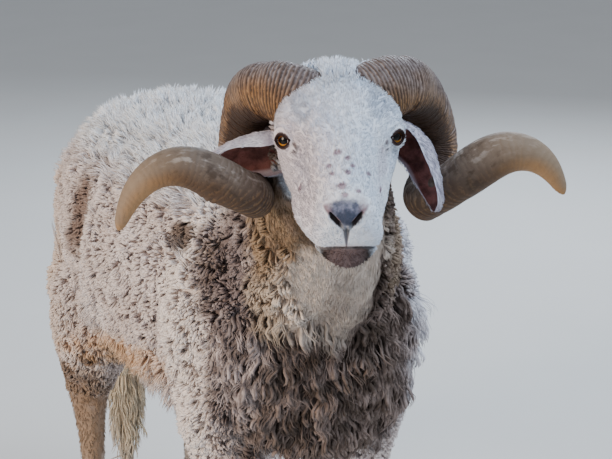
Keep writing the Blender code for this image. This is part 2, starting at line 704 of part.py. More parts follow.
def keep_largest(obj):
    """Leaves only the largest closed surface of a mesh, with faces that lie in one plane made one."""
    made = bmesh.new()
    made.from_mesh(obj.data)
    bmesh.ops.remove_doubles(made, verts=made.verts, dist=1e-6)
    left = set(made.faces)
    bodies = []
    while left:
        body, stack = set(), [left.pop()]
        while stack:
            face = stack.pop()
            body.add(face)
            for edge in face.edges:
                for other in edge.link_faces:
                    if other in left:
                        left.remove(other)
                        stack.append(other)
        bodies.append(body)
    bodies.sort(key=lambda body: sum(f.calc_area() for f in body))
    spare = [face for body in bodies[:-1] for face in body]
    bmesh.ops.delete(made, geom=spare, context="FACES")
    bmesh.ops.dissolve_limit(made, angle_limit=FLAT_ENOUGH, verts=made.verts, edges=made.edges)
    bmesh.ops.triangulate(made, faces=made.faces)
    made.to_mesh(obj.data)
    made.free()
    return obj


def finish(obj, name, look, parts):
    """Names a finished piece, gives it its material, sets it over the origin and files it with the rest."""
    keep_largest(obj)
    obj.name = name
    obj.data.transform(Matrix.Translation((-MIDDLE[0], -MIDDLE[1], 0)))
    colour, rough = LOOKS[look]
    material = bpy.data.materials.new(name + "_" + look)
    material.use_nodes = True
    shader = material.node_tree.nodes["Principled BSDF"]
    shader.inputs["Base Color"].default_value = (*colour, 1)
    shader.inputs["Roughness"].default_value = rough
    shader.inputs["Metallic"].default_value = 0.0
    obj.data.materials.clear()
    obj.data.materials.append(material)
    for holder in list(obj.users_collection):
        holder.objects.unlink(obj)
    parts.objects.link(obj)


def on_chest(points, out):
    """Where long locks grow on the trunk: its front, below the neck."""
    return (out[:, 1] < -0.30) & (points[:, 2] < 0.640) & (points[:, 1] < -0.22)


def on_barrel(points, out):
    """Where clumps grow on the trunk: all of it but the front and the flat of the belly."""
    return ~on_chest(points, out) & (out[:, 2] > -0.80)


def on_thigh(points, out):
    """Where clumps grow on the legs: from a little over knee and hock up to the trunk."""
    return (points[:, 2] > 0.33) & (points[:, 2] < 0.52)


def along_belly(points, out):
    """Where a fringe of locks hangs: low on the trunk's sides, from behind the elbows to the flanks."""
    return (out[:, 2] < -0.20) & (out[:, 2] > -0.70) & (points[:, 1] > -0.13) & (points[:, 1] < 0.20)


def at_throat(points, out):
    """Where locks grow on the neck: its front and sides, but for a strip of short hair below the jaw."""
    front = (out[:, 1] < 0.10) & (points[:, 1] > -0.50) & (points[:, 2] > 0.60)
    bare = (points[:, 2] > 0.66) & (out[:, 2] < -0.45)
    return front & ~bare & (out[:, 2] < 0.35)


def poll_tuft(source):
    """Small clumps on the crown between the horns."""
    turn = np.array(head_matrix().to_3x3())
    pieces = []
    for across, back in zip((-0.022, -0.008, 0.008, 0.022), (0.046, 0.060, 0.046, 0.060)):
        place = np.array(head_matrix() @ Vector((across, back, 0.057 - 6 * across**2)))
        pieces.append(clump(place, turn[:, 2], -turn[:, 1], POLL_CLUMP, source))
    return pieces


def on_nape(points, out):
    """Where clumps grow on the neck: behind the throat's locks, back from the horns."""
    return ~at_throat(points, out) & (points[:, 1] > -0.49)


def elbow_locks(side, source):
    """Big locks that hang over the elbow from the side of the chest."""
    out, hang = np.array([side, 0.0, 0.0]), np.array([0.0, 0.0, -1.0])
    return [lock(np.array([side * x, y, z]), out, hang, ELBOW_LOCK, source) for x, y, z in ELBOW_ROOTS]


def body_whole(source):
    """Trunk, neck, head and legs as one closed body, with clumps and locks of wool out to their tips."""
    pieces = [loft("trunk", trunk_rings(CORE_DEPTH)), loft("neck", neck_rings(NECK_CORE)), head()]
    pieces += wool(trunk_rings(0.0, 60, 72), on_barrel, clump, TRUNK_CLUMP, source)
    pieces += wool(trunk_rings(CORE_DEPTH, 60, 72), on_chest, lock, CHEST_LOCK, source)
    pieces += wool(trunk_rings(CORE_DEPTH, 60, 72), along_belly, lock, FRINGE_LOCK, source)
    pieces += wool(neck_rings(0.0, 40, 60), on_nape, clump, NECK_CLUMP, source)
    pieces += wool(neck_rings(NECK_CORE, 40, 60), at_throat, lock, THROAT_LOCK, source)
    for side in (1, -1):
        for table in (FORELEG, HINDLEG):
            pieces.append(loft("leg", leg_rings(table, side, LEG_CORE)))
            pieces += wool(leg_rings(table, side, 0.0, 60, 40), on_thigh, clump, LEG_CLUMP, source)
        pieces += elbow_locks(side, source)
        pieces.append(ball("orbit", eye_place(side), (EYE_RADIUS + LID_THICKNESS,) * 3, head_matrix(), 12, 8))
    pieces.append(ball("sheath", *SHEATH, None, 8, 6))
    pieces += poll_tuft(source)
    return join("ram", pieces)


def build():
    clear_scene()
    parts = new_collection("ram")
    source = random.Random(SEED)
    whole = body_whole(source)
    head_point = level_matrix() @ Vector((0, HEAD_CUT_BACK, -HEAD_CUT_DOWN))
    head_way = Vector(HEAD_CUT_WAY).normalized()
    neck_point, neck_way = Vector(NECK_CUT[0]), Vector(NECK_CUT[1]).normalized()

    head_piece, neck_piece, torso_piece = (copy_of(whole, name) for name in ("head", "neck", "torso"))
    cut(head_piece, half_space("front", head_point, -head_way), keep=True)
    cut(neck_piece, half_space("back", head_point + head_way * GAP, head_way), keep=True)
    cut(neck_piece, half_space("front", neck_point, -neck_way), keep=True)
    cut(torso_piece, half_space("back", neck_point + neck_way * GAP, neck_way), keep=True)

    for side, word in ((1, "left"), (-1, "right")):
        for table, place, kind in ((FORELEG, FORELEG_CUT, "front"), (HINDLEG, HINDLEG_CUT, "hind")):
            piece = cut(copy_of(whole, kind), leg_block("space", place, side, 0.0), keep=True)
            finish(piece, f"leg_{kind}_{word}", "fleece", parts)
            cut(torso_piece, leg_block("space", place, side, GAP))
            for claw, at in ((1, "left"), (-1, "right")):
                finish(hoof("hoof", table, side, claw), f"hoof_{kind}_{word}_{at}_claw", "hoof", parts)
        made = {"horn": horn("horn", side), "ear": ear("ear", side)}
        made["eye"] = ball("eye", eye_place(side), (EYE_RADIUS,) * 3, head_matrix(), 12, 8)
        cut(made["ear"], socket_for(made["horn"]))
        cut(cut(head_piece, lid_opening(side)), nostril(side))
        for kind, look in (("horn", "horn"), ("ear", "skin"), ("eye", "eye")):
            cut(head_piece, socket_for(made[kind]))
            cut(neck_piece, socket_for(made[kind]))
            finish(made[kind], f"{kind}_{word}", look, parts)

    cut(head_piece, mouth_line())
    scrotum = ball("scrotum", *SCROTUM, None, 12, 8)
    for piece, kind, look in ((tail("tail", source), "tail", "fleece"), (scrotum, "scrotum", "skin")):
        cut(torso_piece, socket_for(piece))
        finish(piece, kind, look, parts)
    finish(head_piece, "head", "face", parts)
    finish(neck_piece, "neck", "fleece", parts)
    finish(torso_piece, "torso", "fleece", parts)
    bpy.data.objects.remove(whole)


build()
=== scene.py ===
import math

import bpy
import numpy as np
from mathutils import Matrix, Vector, kdtree


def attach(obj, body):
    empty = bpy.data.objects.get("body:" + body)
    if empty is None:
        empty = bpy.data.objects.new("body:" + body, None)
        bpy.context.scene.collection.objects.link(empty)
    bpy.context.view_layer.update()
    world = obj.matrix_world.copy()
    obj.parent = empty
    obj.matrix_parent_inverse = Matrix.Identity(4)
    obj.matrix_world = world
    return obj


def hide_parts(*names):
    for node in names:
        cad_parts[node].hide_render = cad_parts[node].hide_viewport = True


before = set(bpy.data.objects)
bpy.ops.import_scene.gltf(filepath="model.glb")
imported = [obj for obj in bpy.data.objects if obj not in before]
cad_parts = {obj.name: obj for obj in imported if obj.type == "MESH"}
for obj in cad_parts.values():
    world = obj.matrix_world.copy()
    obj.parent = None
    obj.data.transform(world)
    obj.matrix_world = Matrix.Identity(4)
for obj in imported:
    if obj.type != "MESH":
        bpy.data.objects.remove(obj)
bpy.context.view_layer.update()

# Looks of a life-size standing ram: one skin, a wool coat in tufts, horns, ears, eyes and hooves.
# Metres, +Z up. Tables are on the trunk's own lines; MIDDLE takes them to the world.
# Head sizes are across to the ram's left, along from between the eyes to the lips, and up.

# Where the world's middle is on the trunk's lines, and how the head is placed and turned.
MIDDLE = (-0.0648, -0.1027, 0.0)
HEAD_ORIGIN = (-0.112, -0.600, 0.925)
HEAD_TURN, HEAD_PITCH, HEAD_ROLL = 22.0, 18.0, 1.2

# Places along the head, and the power that narrows its lower sides there.
JAW_TAPER = ((0.06, 0.13), (1.45, 1.22))

# Eyes and lids, in the head.
EYE_PLACE = (0.0580, 0.008, 0.006)
EYE_RADIUS = 0.0145
EYE_TURN = 40.0
EYE_OPENING = (0.0090, 0.0077)
EYE_RISE = 11.0
EYE_LEAN = -0.34
ALMOND = 0.14
LID_THICKNESS = 0.0030
IRIS_TURN = 30.0
BARE_ROUND_EYE, BARE_AHEAD_OF_EYE = 0.024, 0.0128

# Hooves.
HOOF_TOP = 0.042
CLAW = (0.062, 0.0235)
CLEFT = 0.0016

# Muzzle.
MOUTH_LEVEL = -0.0475
NOSE_MIDDLE = -0.003
NOSTRIL_LINE = (-0.0265, 0.86)
MOUTH_CORNER = 0.112

# How far the skin lies over the trunk's and neck's lines, and shares of the wool on legs and tail.
SKIN_OVER_TRUNK = 0.022
SKIN_OVER_NECK = 0.013
LEG_WOOL_IN_SKIN = 0.40
TAIL_IN_SKIN = 0.62
VOXEL = 0.0070

# Coat.
SEED = 5
SAMPLES, EAR_SAMPLES = 640000, 14000
MOST_TRIANGLES = 195000
UNWRAP_PATCH = 0.003
NECK_LEAN = -0.35

# Codes of the parts that the coat grows on. The right leg of a pair has the code after the left one's.
ON_TRUNK, ON_NECK, ON_HEAD, ON_FORELEG, ON_HINDLEG, ON_TAIL = 0, 1, 2, 3, 5, 7
ON_EAR_LEFT, ON_EAR_RIGHT = 8, 9

# Camera and floor.
CAMERA_LENS = 103.96
CAMERA_FROM_HEAD = (-0.8832, -1.8035, 0.4275)
CAMERA_ANGLES = (-25.0, 15.0)
FLOOR_HALF = 20.0

# Coats: tufts on a square metre, length from and to, angle from the skin at root and tip, width, steps,
# size of a clump, pull towards its middle, and what else make_tufts takes. CLUB is wool that is thick near
# the tip.
CLUB = dict(flat=0.9, shape=(0.5, 0.85, 1.05), late=0.42)
COATS = {
    "back": (48000, (0.024, 0.036), (1.30, 0.75), 0.0024, 3, 0.018, 0.50, dict(wave=(0.0010, 1.0), yaw=1.2)),
    "side": (68000, (0.015, 0.022), (1.40, 0.70), 0.0046, 2, 0.012, 0.28,
             dict(CLUB, wave=(0.0010, 1.0), yaw=1.6)),
    "belly": (26000, (0.026, 0.042), (1.20, 0.80), 0.0034, 3, 0.014, 0.50, dict(wave=(0.0020, 1.0), yaw=0.8)),
    "breast": (17000, (0.036, 0.056), (0.80, -0.25), 0.0082, 7, 0.022, 0.35,
               dict(wave=(0.0034, 1.5), yaw=0.35, flat=0.7, shape=(0.7, 1.0, 0.8))),
    "strands": (24000, (0.036, 0.056), (0.95, -0.15), 0.0022, 5, 0.014, 0.75,
                dict(wave=(0.0032, 1.4), yaw=0.5)),
    "curls": (62000, (0.014, 0.021), (1.35, 0.40), 0.0048, 2, 0.012, 0.45,
              dict(CLUB, wave=(0.0016, 1.0), yaw=1.6)),
    "throat": (120000, (0.011, 0.018), (0.40, 0.10), 0.0014, 2, 0.010, 0.40, dict(yaw=0.12)),
    "legs": (56000, (0.012, 0.018), (1.30, 0.30), 0.0044, 2, 0.012, 0.40,
             dict(CLUB, wave=(0.0012, 1.0), yaw=1.2, shape=(0.5, 0.85, 1.0))),
    "shanks": (42000, (0.006, 0.010), (0.50, 0.15), 0.0018, 2, 0.008, 0.30, dict(yaw=0.2)),
    "tail": (27000, (0.040, 0.070), (0.45, 0.00), 0.0034, 5, 0.012, 0.80, dict(wave=(0.0025, 1.3), yaw=0.25)),
    "poll": (200000, (0.013, 0.019), (0.95, 0.50), 0.0012, 3, 0.008, 0.40, dict(yaw=0.8)),
    "nape": (60000, (0.018, 0.026), (1.10, -0.20), 0.0026, 3, 0.010, 0.60, dict(yaw=1.0)),
    "face": (250000, (0.0060, 0.0085), (0.42, 0.10), 0.0009, 2, 0.007, 0.40, dict(yaw=0.30)),
    "ear": (170000, (0.005, 0.009), (0.45, 0.15), 0.0009, 2, 0.006, 0.30, dict(yaw=0.3)),
}

# Trunk skin: place along Y, half width, top, bottom.
TRUNK = (
    (-0.350, 0.030, 0.600, 0.540),
    (-0.330, 0.085, 0.665, 0.480),
    (-0.265, 0.132, 0.750, 0.432),
    (-0.160, 0.158, 0.792, 0.416),
    (0.000, 0.172, 0.792, 0.420),
    (0.140, 0.174, 0.794, 0.434),
    (0.245, 0.160, 0.792, 0.465),
    (0.325, 0.134, 0.760, 0.500),
    (0.372, 0.096, 0.706, 0.560),
    (0.388, 0.040, 0.665, 0.610),
)

# Neck skin: across, along Y, up, half width, half depth.
NECK = (
    (0.000, -0.150, 0.600, 0.120, 0.150),
    (-0.002, -0.235, 0.650, 0.112, 0.140),
    (-0.016, -0.320, 0.715, 0.094, 0.118),
    (-0.044, -0.400, 0.790, 0.074, 0.094),
    (-0.070, -0.465, 0.850, 0.060, 0.080),
    (-0.088, -0.520, 0.892, 0.050, 0.070),
)

# Legs from the top: up, along Y, across, half width, half depth, wool over the skin.
FORELEG = (
    (0.600, -0.245, 0.085, 0.045, 0.075, 0.034),
    (0.500, -0.228, 0.096, 0.046, 0.070, 0.036),
    (0.440, -0.222, 0.098, 0.040, 0.056, 0.034),
    (0.360, -0.222, 0.096, 0.031, 0.039, 0.026),
    (0.290, -0.228, 0.094, 0.026, 0.030, 0.017),
    (0.265, -0.231, 0.093, 0.028, 0.032, 0.010),
    (0.235, -0.228, 0.093, 0.022, 0.026, 0.006),
    (0.190, -0.224, 0.093, 0.0165, 0.019, 0.003),
    (0.130, -0.224, 0.094, 0.0165, 0.020, 0.000),
    (0.105, -0.226, 0.095, 0.0205, 0.025, 0.000),
    (0.075, -0.235, 0.096, 0.0180, 0.021, 0.000),
    (HOOF_TOP, -0.246, 0.097, 0.0255, 0.0300, 0.000),
)
HINDLEG = (
    (0.680, 0.240, 0.080, 0.055, 0.090, 0.030),
    (0.600, 0.252, 0.094, 0.066, 0.110, 0.030),
    (0.520, 0.268, 0.108, 0.060, 0.102, 0.034),
    (0.450, 0.290, 0.120, 0.050, 0.080, 0.036),
    (0.380, 0.318, 0.122, 0.037, 0.056, 0.034),
    (0.320, 0.350, 0.120, 0.026, 0.040, 0.026),
    (0.285, 0.364, 0.119, 0.0245, 0.035, 0.018),
    (0.250, 0.361, 0.119, 0.021, 0.028, 0.012),
    (0.200, 0.354, 0.119, 0.0175, 0.021, 0.009),
    (0.130, 0.347, 0.120, 0.0170, 0.020, 0.004),
    (0.105, 0.343, 0.121, 0.0210, 0.025, 0.000),
    (0.075, 0.334, 0.122, 0.0180, 0.021, 0.000),
    (HOOF_TOP, 0.324, 0.123, 0.0255, 0.0300, 0.000),
)

# How far the left feet are led outwards and back.
LEFT_FORE_STEP = (0.012, -0.010)
LEFT_HIND_STEP = (-0.040, 0.062)

# Head: along, top, height of the widest place, bottom, half width.
HEAD = (
    (-0.125, 0.020, -0.020, -0.080, 0.046),
    (-0.100, 0.042, -0.010, -0.108, 0.060),
    (-0.070, 0.050, 0.000, -0.122, 0.0660),
    (-0.040, 0.055, 0.004, -0.126, 0.0700),
    (-0.018, 0.055, 0.004, -0.121, 0.0720),
    (0.002, 0.051, 0.000, -0.112, 0.0690),
    (0.018, 0.047, -0.010, -0.102, 0.0630),
    (0.040, 0.042, -0.024, -0.094, 0.0565),
    (0.065, 0.035, -0.034, -0.087, 0.0505),
    (0.090, 0.026, -0.039, -0.082, 0.0440),
    (0.110, 0.017, -0.041, -0.080, 0.0395),
    (0.128, 0.009, -0.040, -0.079, 0.0380),
    (0.142, 0.000, -0.040, -0.080, 0.0365),
    (0.151, -0.010, -0.041, -0.078, 0.0320),
    (0.157, -0.022, -0.043, -0.072, 0.0230),
    (0.160, -0.038, -0.046, -0.056, 0.0090),
)

# Swellings and hollows of the face: along, across, up, reach along, across and up, height.
# Those with a place across of 0 or more are on both sides.
FACE_FORMS = (
    (-0.004, 0.062, 0.026, 0.016, 0.016, 0.016, 0.0045),
    (0.036, 0.046, 0.002, 0.020, 0.014, 0.020, -0.0050),
    (0.070, 0.046, 0.000, 0.034, 0.012, 0.018, -0.0030),
    (0.050, 0.027, 0.036, 0.034, 0.011, 0.016, 0.0034),
    (0.100, 0.025, 0.014, 0.030, 0.010, 0.014, 0.0030),
    (0.000, 0.050, -0.075, 0.030, 0.030, 0.030, 0.0045),
    (0.075, -0.042, -0.066, 0.040, 0.030, 0.030, 0.0125),
    (0.112, -0.036, -0.060, 0.024, 0.020, 0.024, 0.0040),
    (0.141, 0.026, -0.012, 0.012, 0.012, 0.012, 0.0030),
    (0.146, 0.024, -0.033, 0.012, 0.012, 0.014, 0.0050),
    (0.122, 0.038, -0.034, 0.010, 0.014, 0.022, -0.0040),
    (0.145, 0.000, -0.064, 0.014, 0.014, 0.014, 0.0020),
    (0.152, 0.014, -0.036, 0.009, 0.010, 0.010, 0.0052),
    (0.150, 0.018, -0.006, 0.007, 0.007, 0.006, 0.0026),
    (0.156, 0.000, -0.010, 0.008, 0.006, 0.007, 0.0016),
    (0.004, 0.060, 0.027, 0.014, 0.012, 0.007, 0.0026),
    (0.030, 0.055, -0.020, 0.022, 0.012, 0.006, 0.0025),
    (0.034, 0.050, -0.006, 0.014, 0.010, 0.004, -0.0030),
    (0.060, 0.040, -0.060, 0.040, 0.014, 0.008, 0.0016),
)

# Those of the body, on both sides: across, along Y, up, reach across, along Y and up, height.
BODY_FORMS = (
    (0.150, -0.235, 0.560, 0.080, 0.036, 0.170, 0.010),
    (0.165, -0.160, 0.500, 0.080, 0.030, 0.120, -0.011),
    (0.145, -0.195, 0.712, 0.050, 0.026, 0.024, -0.012),
    (0.170, 0.140, 0.660, 0.080, 0.045, 0.100, -0.020),
    (0.165, 0.050, 0.640, 0.080, 0.060, 0.100, 0.005),
    (0.165, 0.300, 0.500, 0.070, 0.060, 0.090, 0.006),
    (0.080, 0.210, 0.815, 0.070, 0.022, 0.040, -0.010),
    (0.110, -0.290, 0.690, 0.050, 0.022, 0.050, -0.008),
)

# Horn, level with the head and from between the eyes: out, back, up, half thickness, share of it across.
HORN = (
    (0.022, 0.050, 0.031, 0.036, 0.92),
    (0.050, 0.050, 0.045, 0.037, 0.92),
    (0.077, 0.068, 0.047, 0.036, 0.90),
    (0.101, 0.104, 0.032, 0.035, 0.88),
    (0.115, 0.142, -0.002, 0.033, 0.85),
    (0.119, 0.156, -0.040, 0.031, 0.85),
    (0.111, 0.136, -0.076, 0.030, 0.85),
    (0.099, 0.090, -0.089, 0.029, 0.88),
    (0.099, 0.044, -0.077, 0.027, 0.90),
    (0.122, 0.020, -0.065, 0.0265, 0.92),
    (0.152, 0.010, -0.048, 0.026, 0.90),
    (0.182, 0.008, -0.036, 0.024, 0.88),
    (0.210, 0.008, -0.036, 0.020, 0.88),
    (0.234, 0.010, -0.051, 0.016, 0.90),
    (0.251, 0.012, -0.077, 0.011, 0.95),
    (0.261, 0.013, -0.106, 0.0050, 1.00),
)

# How the left horn differs.
HORN_TIP_LIFT = 0.026
HORN_LEFT_SPREAD = 0.010
HORN_LEFT_SAG = 0.011
HORN_LEFT_SWELL = 0.13
HORN_STEPS = 38

# Ears in the same frame: out, back, up, half width.
EAR_RIGHT = (
    (0.050, 0.046, -0.018, 0.016),
    (0.068, 0.052, -0.027, 0.026),
    (0.092, 0.062, -0.035, 0.0315),
    (0.120, 0.072, -0.042, 0.0290),
    (0.146, 0.078, -0.050, 0.0210),
    (0.168, 0.080, -0.060, 0.0090),
)
EAR_LEFT = (
    (0.052, 0.046, -0.010, 0.014),
    (0.070, 0.044, -0.012, 0.020),
    (0.088, 0.028, -0.024, 0.0230),
    (0.098, 0.004, -0.046, 0.0220),
    (0.103, -0.016, -0.066, 0.0190),
    (0.106, -0.030, -0.083, 0.0160),
)

# The way that each ear's hollow faces, and how far round it the front and back walls reach.
EAR_OPENING = {1: (-1.0, 0.06, 0.0), -1: (0.0, -0.38, -0.92)}
EAR_SWEEP = {1: (1.45, 2.35), -1: (1.30, 2.55)}

# Tail: across, along Y, up, half width, half depth.
TAIL = (
    (0.000, 0.365, 0.672, 0.026, 0.020),
    (0.000, 0.422, 0.662, 0.030, 0.024),
    (0.000, 0.466, 0.612, 0.036, 0.028),
    (0.000, 0.478, 0.530, 0.040, 0.028),
    (-0.002, 0.480, 0.430, 0.042, 0.028),
    (-0.005, 0.484, 0.310, 0.043, 0.028),
    (-0.008, 0.488, 0.200, 0.038, 0.025),
    (-0.010, 0.488, 0.114, 0.014, 0.012),
)

# Scrotum: middle and half sizes.
SCROTUM = ((0.0, 0.262, 0.390), (0.036, 0.042, 0.075))

# Where the parts of the solids meet: a point and the way across it, or for a leg its start, end,
# height and slope.
NECK_CUT = ((0.0, -0.305, 0.690), (0.0, 0.80, -0.60))
HEAD_CUT_BACK, HEAD_CUT_DOWN = 0.098, 0.042
HEAD_CUT_WAY = (0.22, 0.80, -0.56)
FORELEG_CUT = (-0.345, -0.125, 0.385, 0.40)
HINDLEG_CUT = (0.130, 0.470, 0.405, 0.60)
LEG_CUT_INNER = 0.040

# Marks: colour, middle, half sizes, softness, raggedness, its scale, most, turn.
# On both sides of the body; the second row is a painted highlight down the front of the shoulder:
BODY_MARKS = (
    ((0.82, 0.68, 0.58), (0.120, 0.350, 0.520), (0.120, 0.110, 0.200), 0.8, 0.3, 12.0, 0.7),
    ((0.94, 0.87, 0.85), (0.150, -0.232, 0.560), (0.080, 0.052, 0.220), 0.4, 0.2, 18.0, 1.0),
    ((0.24, 0.175, 0.13), (0.040, 0.120, 0.400), (0.100, 0.230, 0.045), 0.9, 0.4, 20.0, 0.8),
    ((0.24, 0.165, 0.12), (0.150, 0.330, 0.325), (0.065, 0.080, 0.055), 0.8, 0.6, 30.0, 0.85),
    ((0.36, 0.24, 0.15), (0.140, 0.340, 0.240), (0.070, 0.090, 0.070), 0.8, 0.5, 30.0, 0.85),
    ((0.15, 0.10, 0.075), (0.150, 0.250, 0.395), (0.020, 0.020, 0.016), 0.6, 0.5, 60.0, 0.9),
    ((0.15, 0.10, 0.075), (0.165, 0.310, 0.363), (0.018, 0.018, 0.014), 0.6, 0.5, 60.0, 0.9),
    ((0.16, 0.115, 0.09), (0.120, 0.330, 0.045), (0.060, 0.070, 0.045), 0.8, 0.5, 40.0, 0.8),
    ((0.16, 0.115, 0.09), (0.100, -0.240, 0.045), (0.060, 0.070, 0.045), 0.8, 0.5, 40.0, 0.8),
    ((0.78, 0.68, 0.53), (0.000, 0.470, 0.400), (0.070, 0.060, 0.330), 0.5, 0.2, 30.0, 1.0),
)

# On one side of the body, and on the neck; the first three rows are painted shade in hollows of the flank and
# the shoulder:
SIDE_MARKS = (
    ((0.26, 0.18, 0.15), (-0.170, 0.140, 0.665), (0.080, 0.042, 0.090), 0.9, 0.5, 28.0, 0.9, (0.3, 0, 0)),
    ((0.15, 0.105, 0.085), (-0.145, -0.205, 0.712), (0.050, 0.026, 0.020), 0.7, 0.6, 50.0, 0.9),
    ((0.17, 0.125, 0.105), (-0.130, -0.285, 0.700), (0.040, 0.024, 0.030), 0.7, 0.6, 50.0, 0.8),
    ((0.74, 0.45, 0.22), (-0.150, 0.070, 0.455), (0.090, 0.200, 0.036), 1.0, 0.6, 45.0, 0.75, (-0.25, 0, 0)),
    ((0.20, 0.125, 0.060), (-0.120, -0.490, 0.820), (0.060, 0.060, 0.080), 0.8, 0.4, 40.0, 0.75),
    ((0.27, 0.22, 0.225), (-0.120, -0.315, 0.685), (0.045, 0.045, 0.075), 0.7, 0.5, 40.0, 0.85),
    ((0.40, 0.28, 0.175), (-0.115, -0.430, 0.770), (0.050, 0.058, 0.110), 0.7, 0.5, 40.0, 0.85),
    ((0.27, 0.180, 0.110), (-0.100, -0.450, 0.750), (0.022, 0.050, 0.090), 0.8, 0.5, 40.0, 0.7),
    ((0.62, 0.51, 0.40), (-0.100, -0.385, 0.660), (0.030, 0.055, 0.050), 0.8, 0.6, 40.0, 0.75),
    ((0.40, 0.31, 0.23), (0.075, -0.400, 0.740), (0.030, 0.090, 0.080), 0.7, 0.4, 40.0, 0.6),
    ((0.82, 0.73, 0.66), (-0.040, -0.440, 0.715), (0.074, 0.120, 0.110), 0.4, 0.2, 40.0, 0.95, (0, 0.25, 0)),
    ((0.64, 0.56, 0.50), (-0.020, -0.400, 0.630), (0.032, 0.110, 0.040), 0.7, 0.4, 40.0, 0.75),
    ((0.40, 0.33, 0.29), (-0.035, -0.430, 0.660), (0.018, 0.110, 0.050), 0.9, 0.5, 40.0, 0.45),
    ((0.80, 0.80, 0.87), (0.172, -0.290, 0.640), (0.050, 0.130, 0.210), 0.7, 0.4, 30.0, 0.85),
)

# On both sides of the face, in its across, back and up; the first three rows are painted shade on the crown,
# on the forehead's sides and beside the nose bridge:
FACE_MARKS = (((0.60, 0.62, 0.66), (0.000, 0.040, 0.060), (0.022, 0.020, 0.020), 0.9, 0.3, 60.0, 0.35),
              ((0.46, 0.52, 0.64), (0.046, 0.004, 0.044), (0.013, 0.026, 0.018), 0.9, 0.5, 70.0, 0.55),
              ((0.62, 0.60, 0.70), (0.046, -0.060, -0.002), (0.010, 0.045, 0.014), 1.0, 0.4, 60.0, 0.55),
              ((0.13, 0.085, 0.085), (0.0535, -0.0290, 0.0085), (0.0030, 0.0065, 0.0030),
               0.9, 0.4, 200.0, 0.8, (0, 0, 0.6)),
              ((0.36, 0.29, 0.34), (0.0480, -0.0430, 0.0060), (0.0026, 0.0130, 0.0040),
               0.9, 0.4, 150.0, 0.5, (0, 0, 0.3)))

# Freckles: across, back, up, size.
FRECKLES = ((-0.0083, -0.0823, 0.0292, 0.0052), (0.0033, -0.0909, 0.0261, 0.0036),
            (-0.0181, -0.0958, 0.0183, 0.0040), (0.0082, -0.0997, 0.0209, 0.0030),
            (0.0021, -0.1076, 0.0182, 0.0036), (0.0237, -0.1021, 0.0101, 0.0042),
            (-0.0057, -0.1241, 0.0105, 0.0056), (-0.0031, -0.1346, 0.0052, 0.0040),
            (-0.0150, -0.1060, 0.0150, 0.0034), (0.0393, -0.0951, -0.0144, 0.0050),
            (-0.0481, -0.0717, -0.0228, 0.0052), (0.0120, -0.1290, 0.0060, 0.0032))

chance = np.random.default_rng(SEED)


# Shapes.


def lumps(points, length, seed):
    """A slow wander over space, about -1 to 1: the mean of sines along eight random ways."""
    ways = np.random.default_rng(seed)
    way = unit(ways.normal(size=(8, 3)))
    scale = 2 * math.pi / length * ways.uniform(0.7, 1.4, 8)
    start = ways.uniform(0, 2 * math.pi, 8)
    return np.sin((points @ way.T) * scale + start).sum(1) / 3.2


def spline(table, at):
    """Rows of a table at places along its first column: cubic Hermite pieces through every row."""
    table = np.asarray(table, float)
    if table[0, 0] > table[-1, 0]:
        table = table[::-1]
    keys, rows = table[:, 0], table[:, 1:]
    slope = np.gradient(rows, keys, axis=0)
    at = np.clip(at, keys[0], keys[-1])
    index = np.clip(np.searchsorted(keys, at, side="right") - 1, 0, len(keys) - 2)
    step = (keys[index + 1] - keys[index])[:, None]
    t = (at - keys[index])[:, None] / step
    from_start = (2 * t**3 - 3 * t**2 + 1) * rows[index] + (t**3 - 2 * t**2 + t) * step * slope[index]
    to_end = (3 * t**2 - 2 * t**3) * rows[index + 1] + (t**3 - t**2) * step * slope[index + 1]
    return from_start + to_end


def along_path(table, count):
    """Rows of a table of points read evenly along the path that its first three columns make."""
    table = np.asarray(table, float)
    keys = np.concatenate([[0], np.cumsum(np.linalg.norm(np.diff(table[:, :3], axis=0), axis=1))])
    return spline(np.column_stack([keys, table]), np.linspace(0, keys[-1], count))


def turns(sides):
    return np.linspace(0, 2 * math.pi, sides, endpoint=False)


def signed_power(x, power):
    return np.sign(x) * np.abs(x) ** power


def smooth_step(x, start, end):
    """0 before start, 1 after end, and 3t^2 - 2t^3 between them."""
    t = np.clip((x - start) / (end - start), 0, 1)
    return t * t * (3 - 2 * t)


def bell(x, middle, reach):
    return np.exp(-(((x - middle) / reach) ** 2))


def arch(x, start, width):
    """Half a sine wave: 0 at start, 1 half a width on, and 0 again after the width."""
    return np.sin(math.pi * np.clip((x - start) / width, 0, 1))


def unit(vectors):
    """Vectors at length 1."""
    return vectors / np.maximum(np.linalg.norm(vectors, axis=-1, keepdims=True), 1e-9)


def mesh_object(name, points, *faces):
    """An object whose mesh has these points, and faces from arrays of corners, one array a face size."""
    mesh = bpy.data.meshes.new(name)
    mesh.vertices.add(len(points))
    mesh.vertices.foreach_set("co", np.asarray(points, np.float32).ravel())
    corners = np.concatenate([f.ravel() for f in faces]).astype(np.int32)
    sizes = np.concatenate([np.full(len(f), f.shape[1]) for f in faces])
    mesh.loops.add(len(corners))
    mesh.loops.foreach_set("vertex_index", corners)
    mesh.polygons.add(len(sizes))
    mesh.polygons.foreach_set("loop_start", np.concatenate([[0], np.cumsum(sizes)[:-1]]).astype(np.int32))
    mesh.update(calc_edges=True)
    mesh.shade_smooth()
    obj = bpy.data.objects.new(name, mesh)
    bpy.context.scene.collection.objects.link(obj)
    return obj


def grid_faces(count, sides):
    """Quads of a tube of rings, P(i, j) to P(i + 1, j + 1), closed round j, and a fan to each end's pole."""
    i, j = np.meshgrid(np.arange(count - 1), np.arange(sides), indexing="ij")
    k = (j + 1) % sides
    quads = np.stack([i * sides + j, i * sides + k, (i + 1) * sides + k, (i + 1) * sides + j],
                     2).reshape(-1, 4)
    j = np.arange(sides)
    k = (j + 1) % sides
    last = (count - 1) * sides
    first_fan = np.stack([np.full(sides, count * sides), k, j], 1)
    last_fan = np.stack([np.full(sides, count * sides + 1), last + j, last + k], 1)
    return quads, np.vstack([first_fan, last_fan])


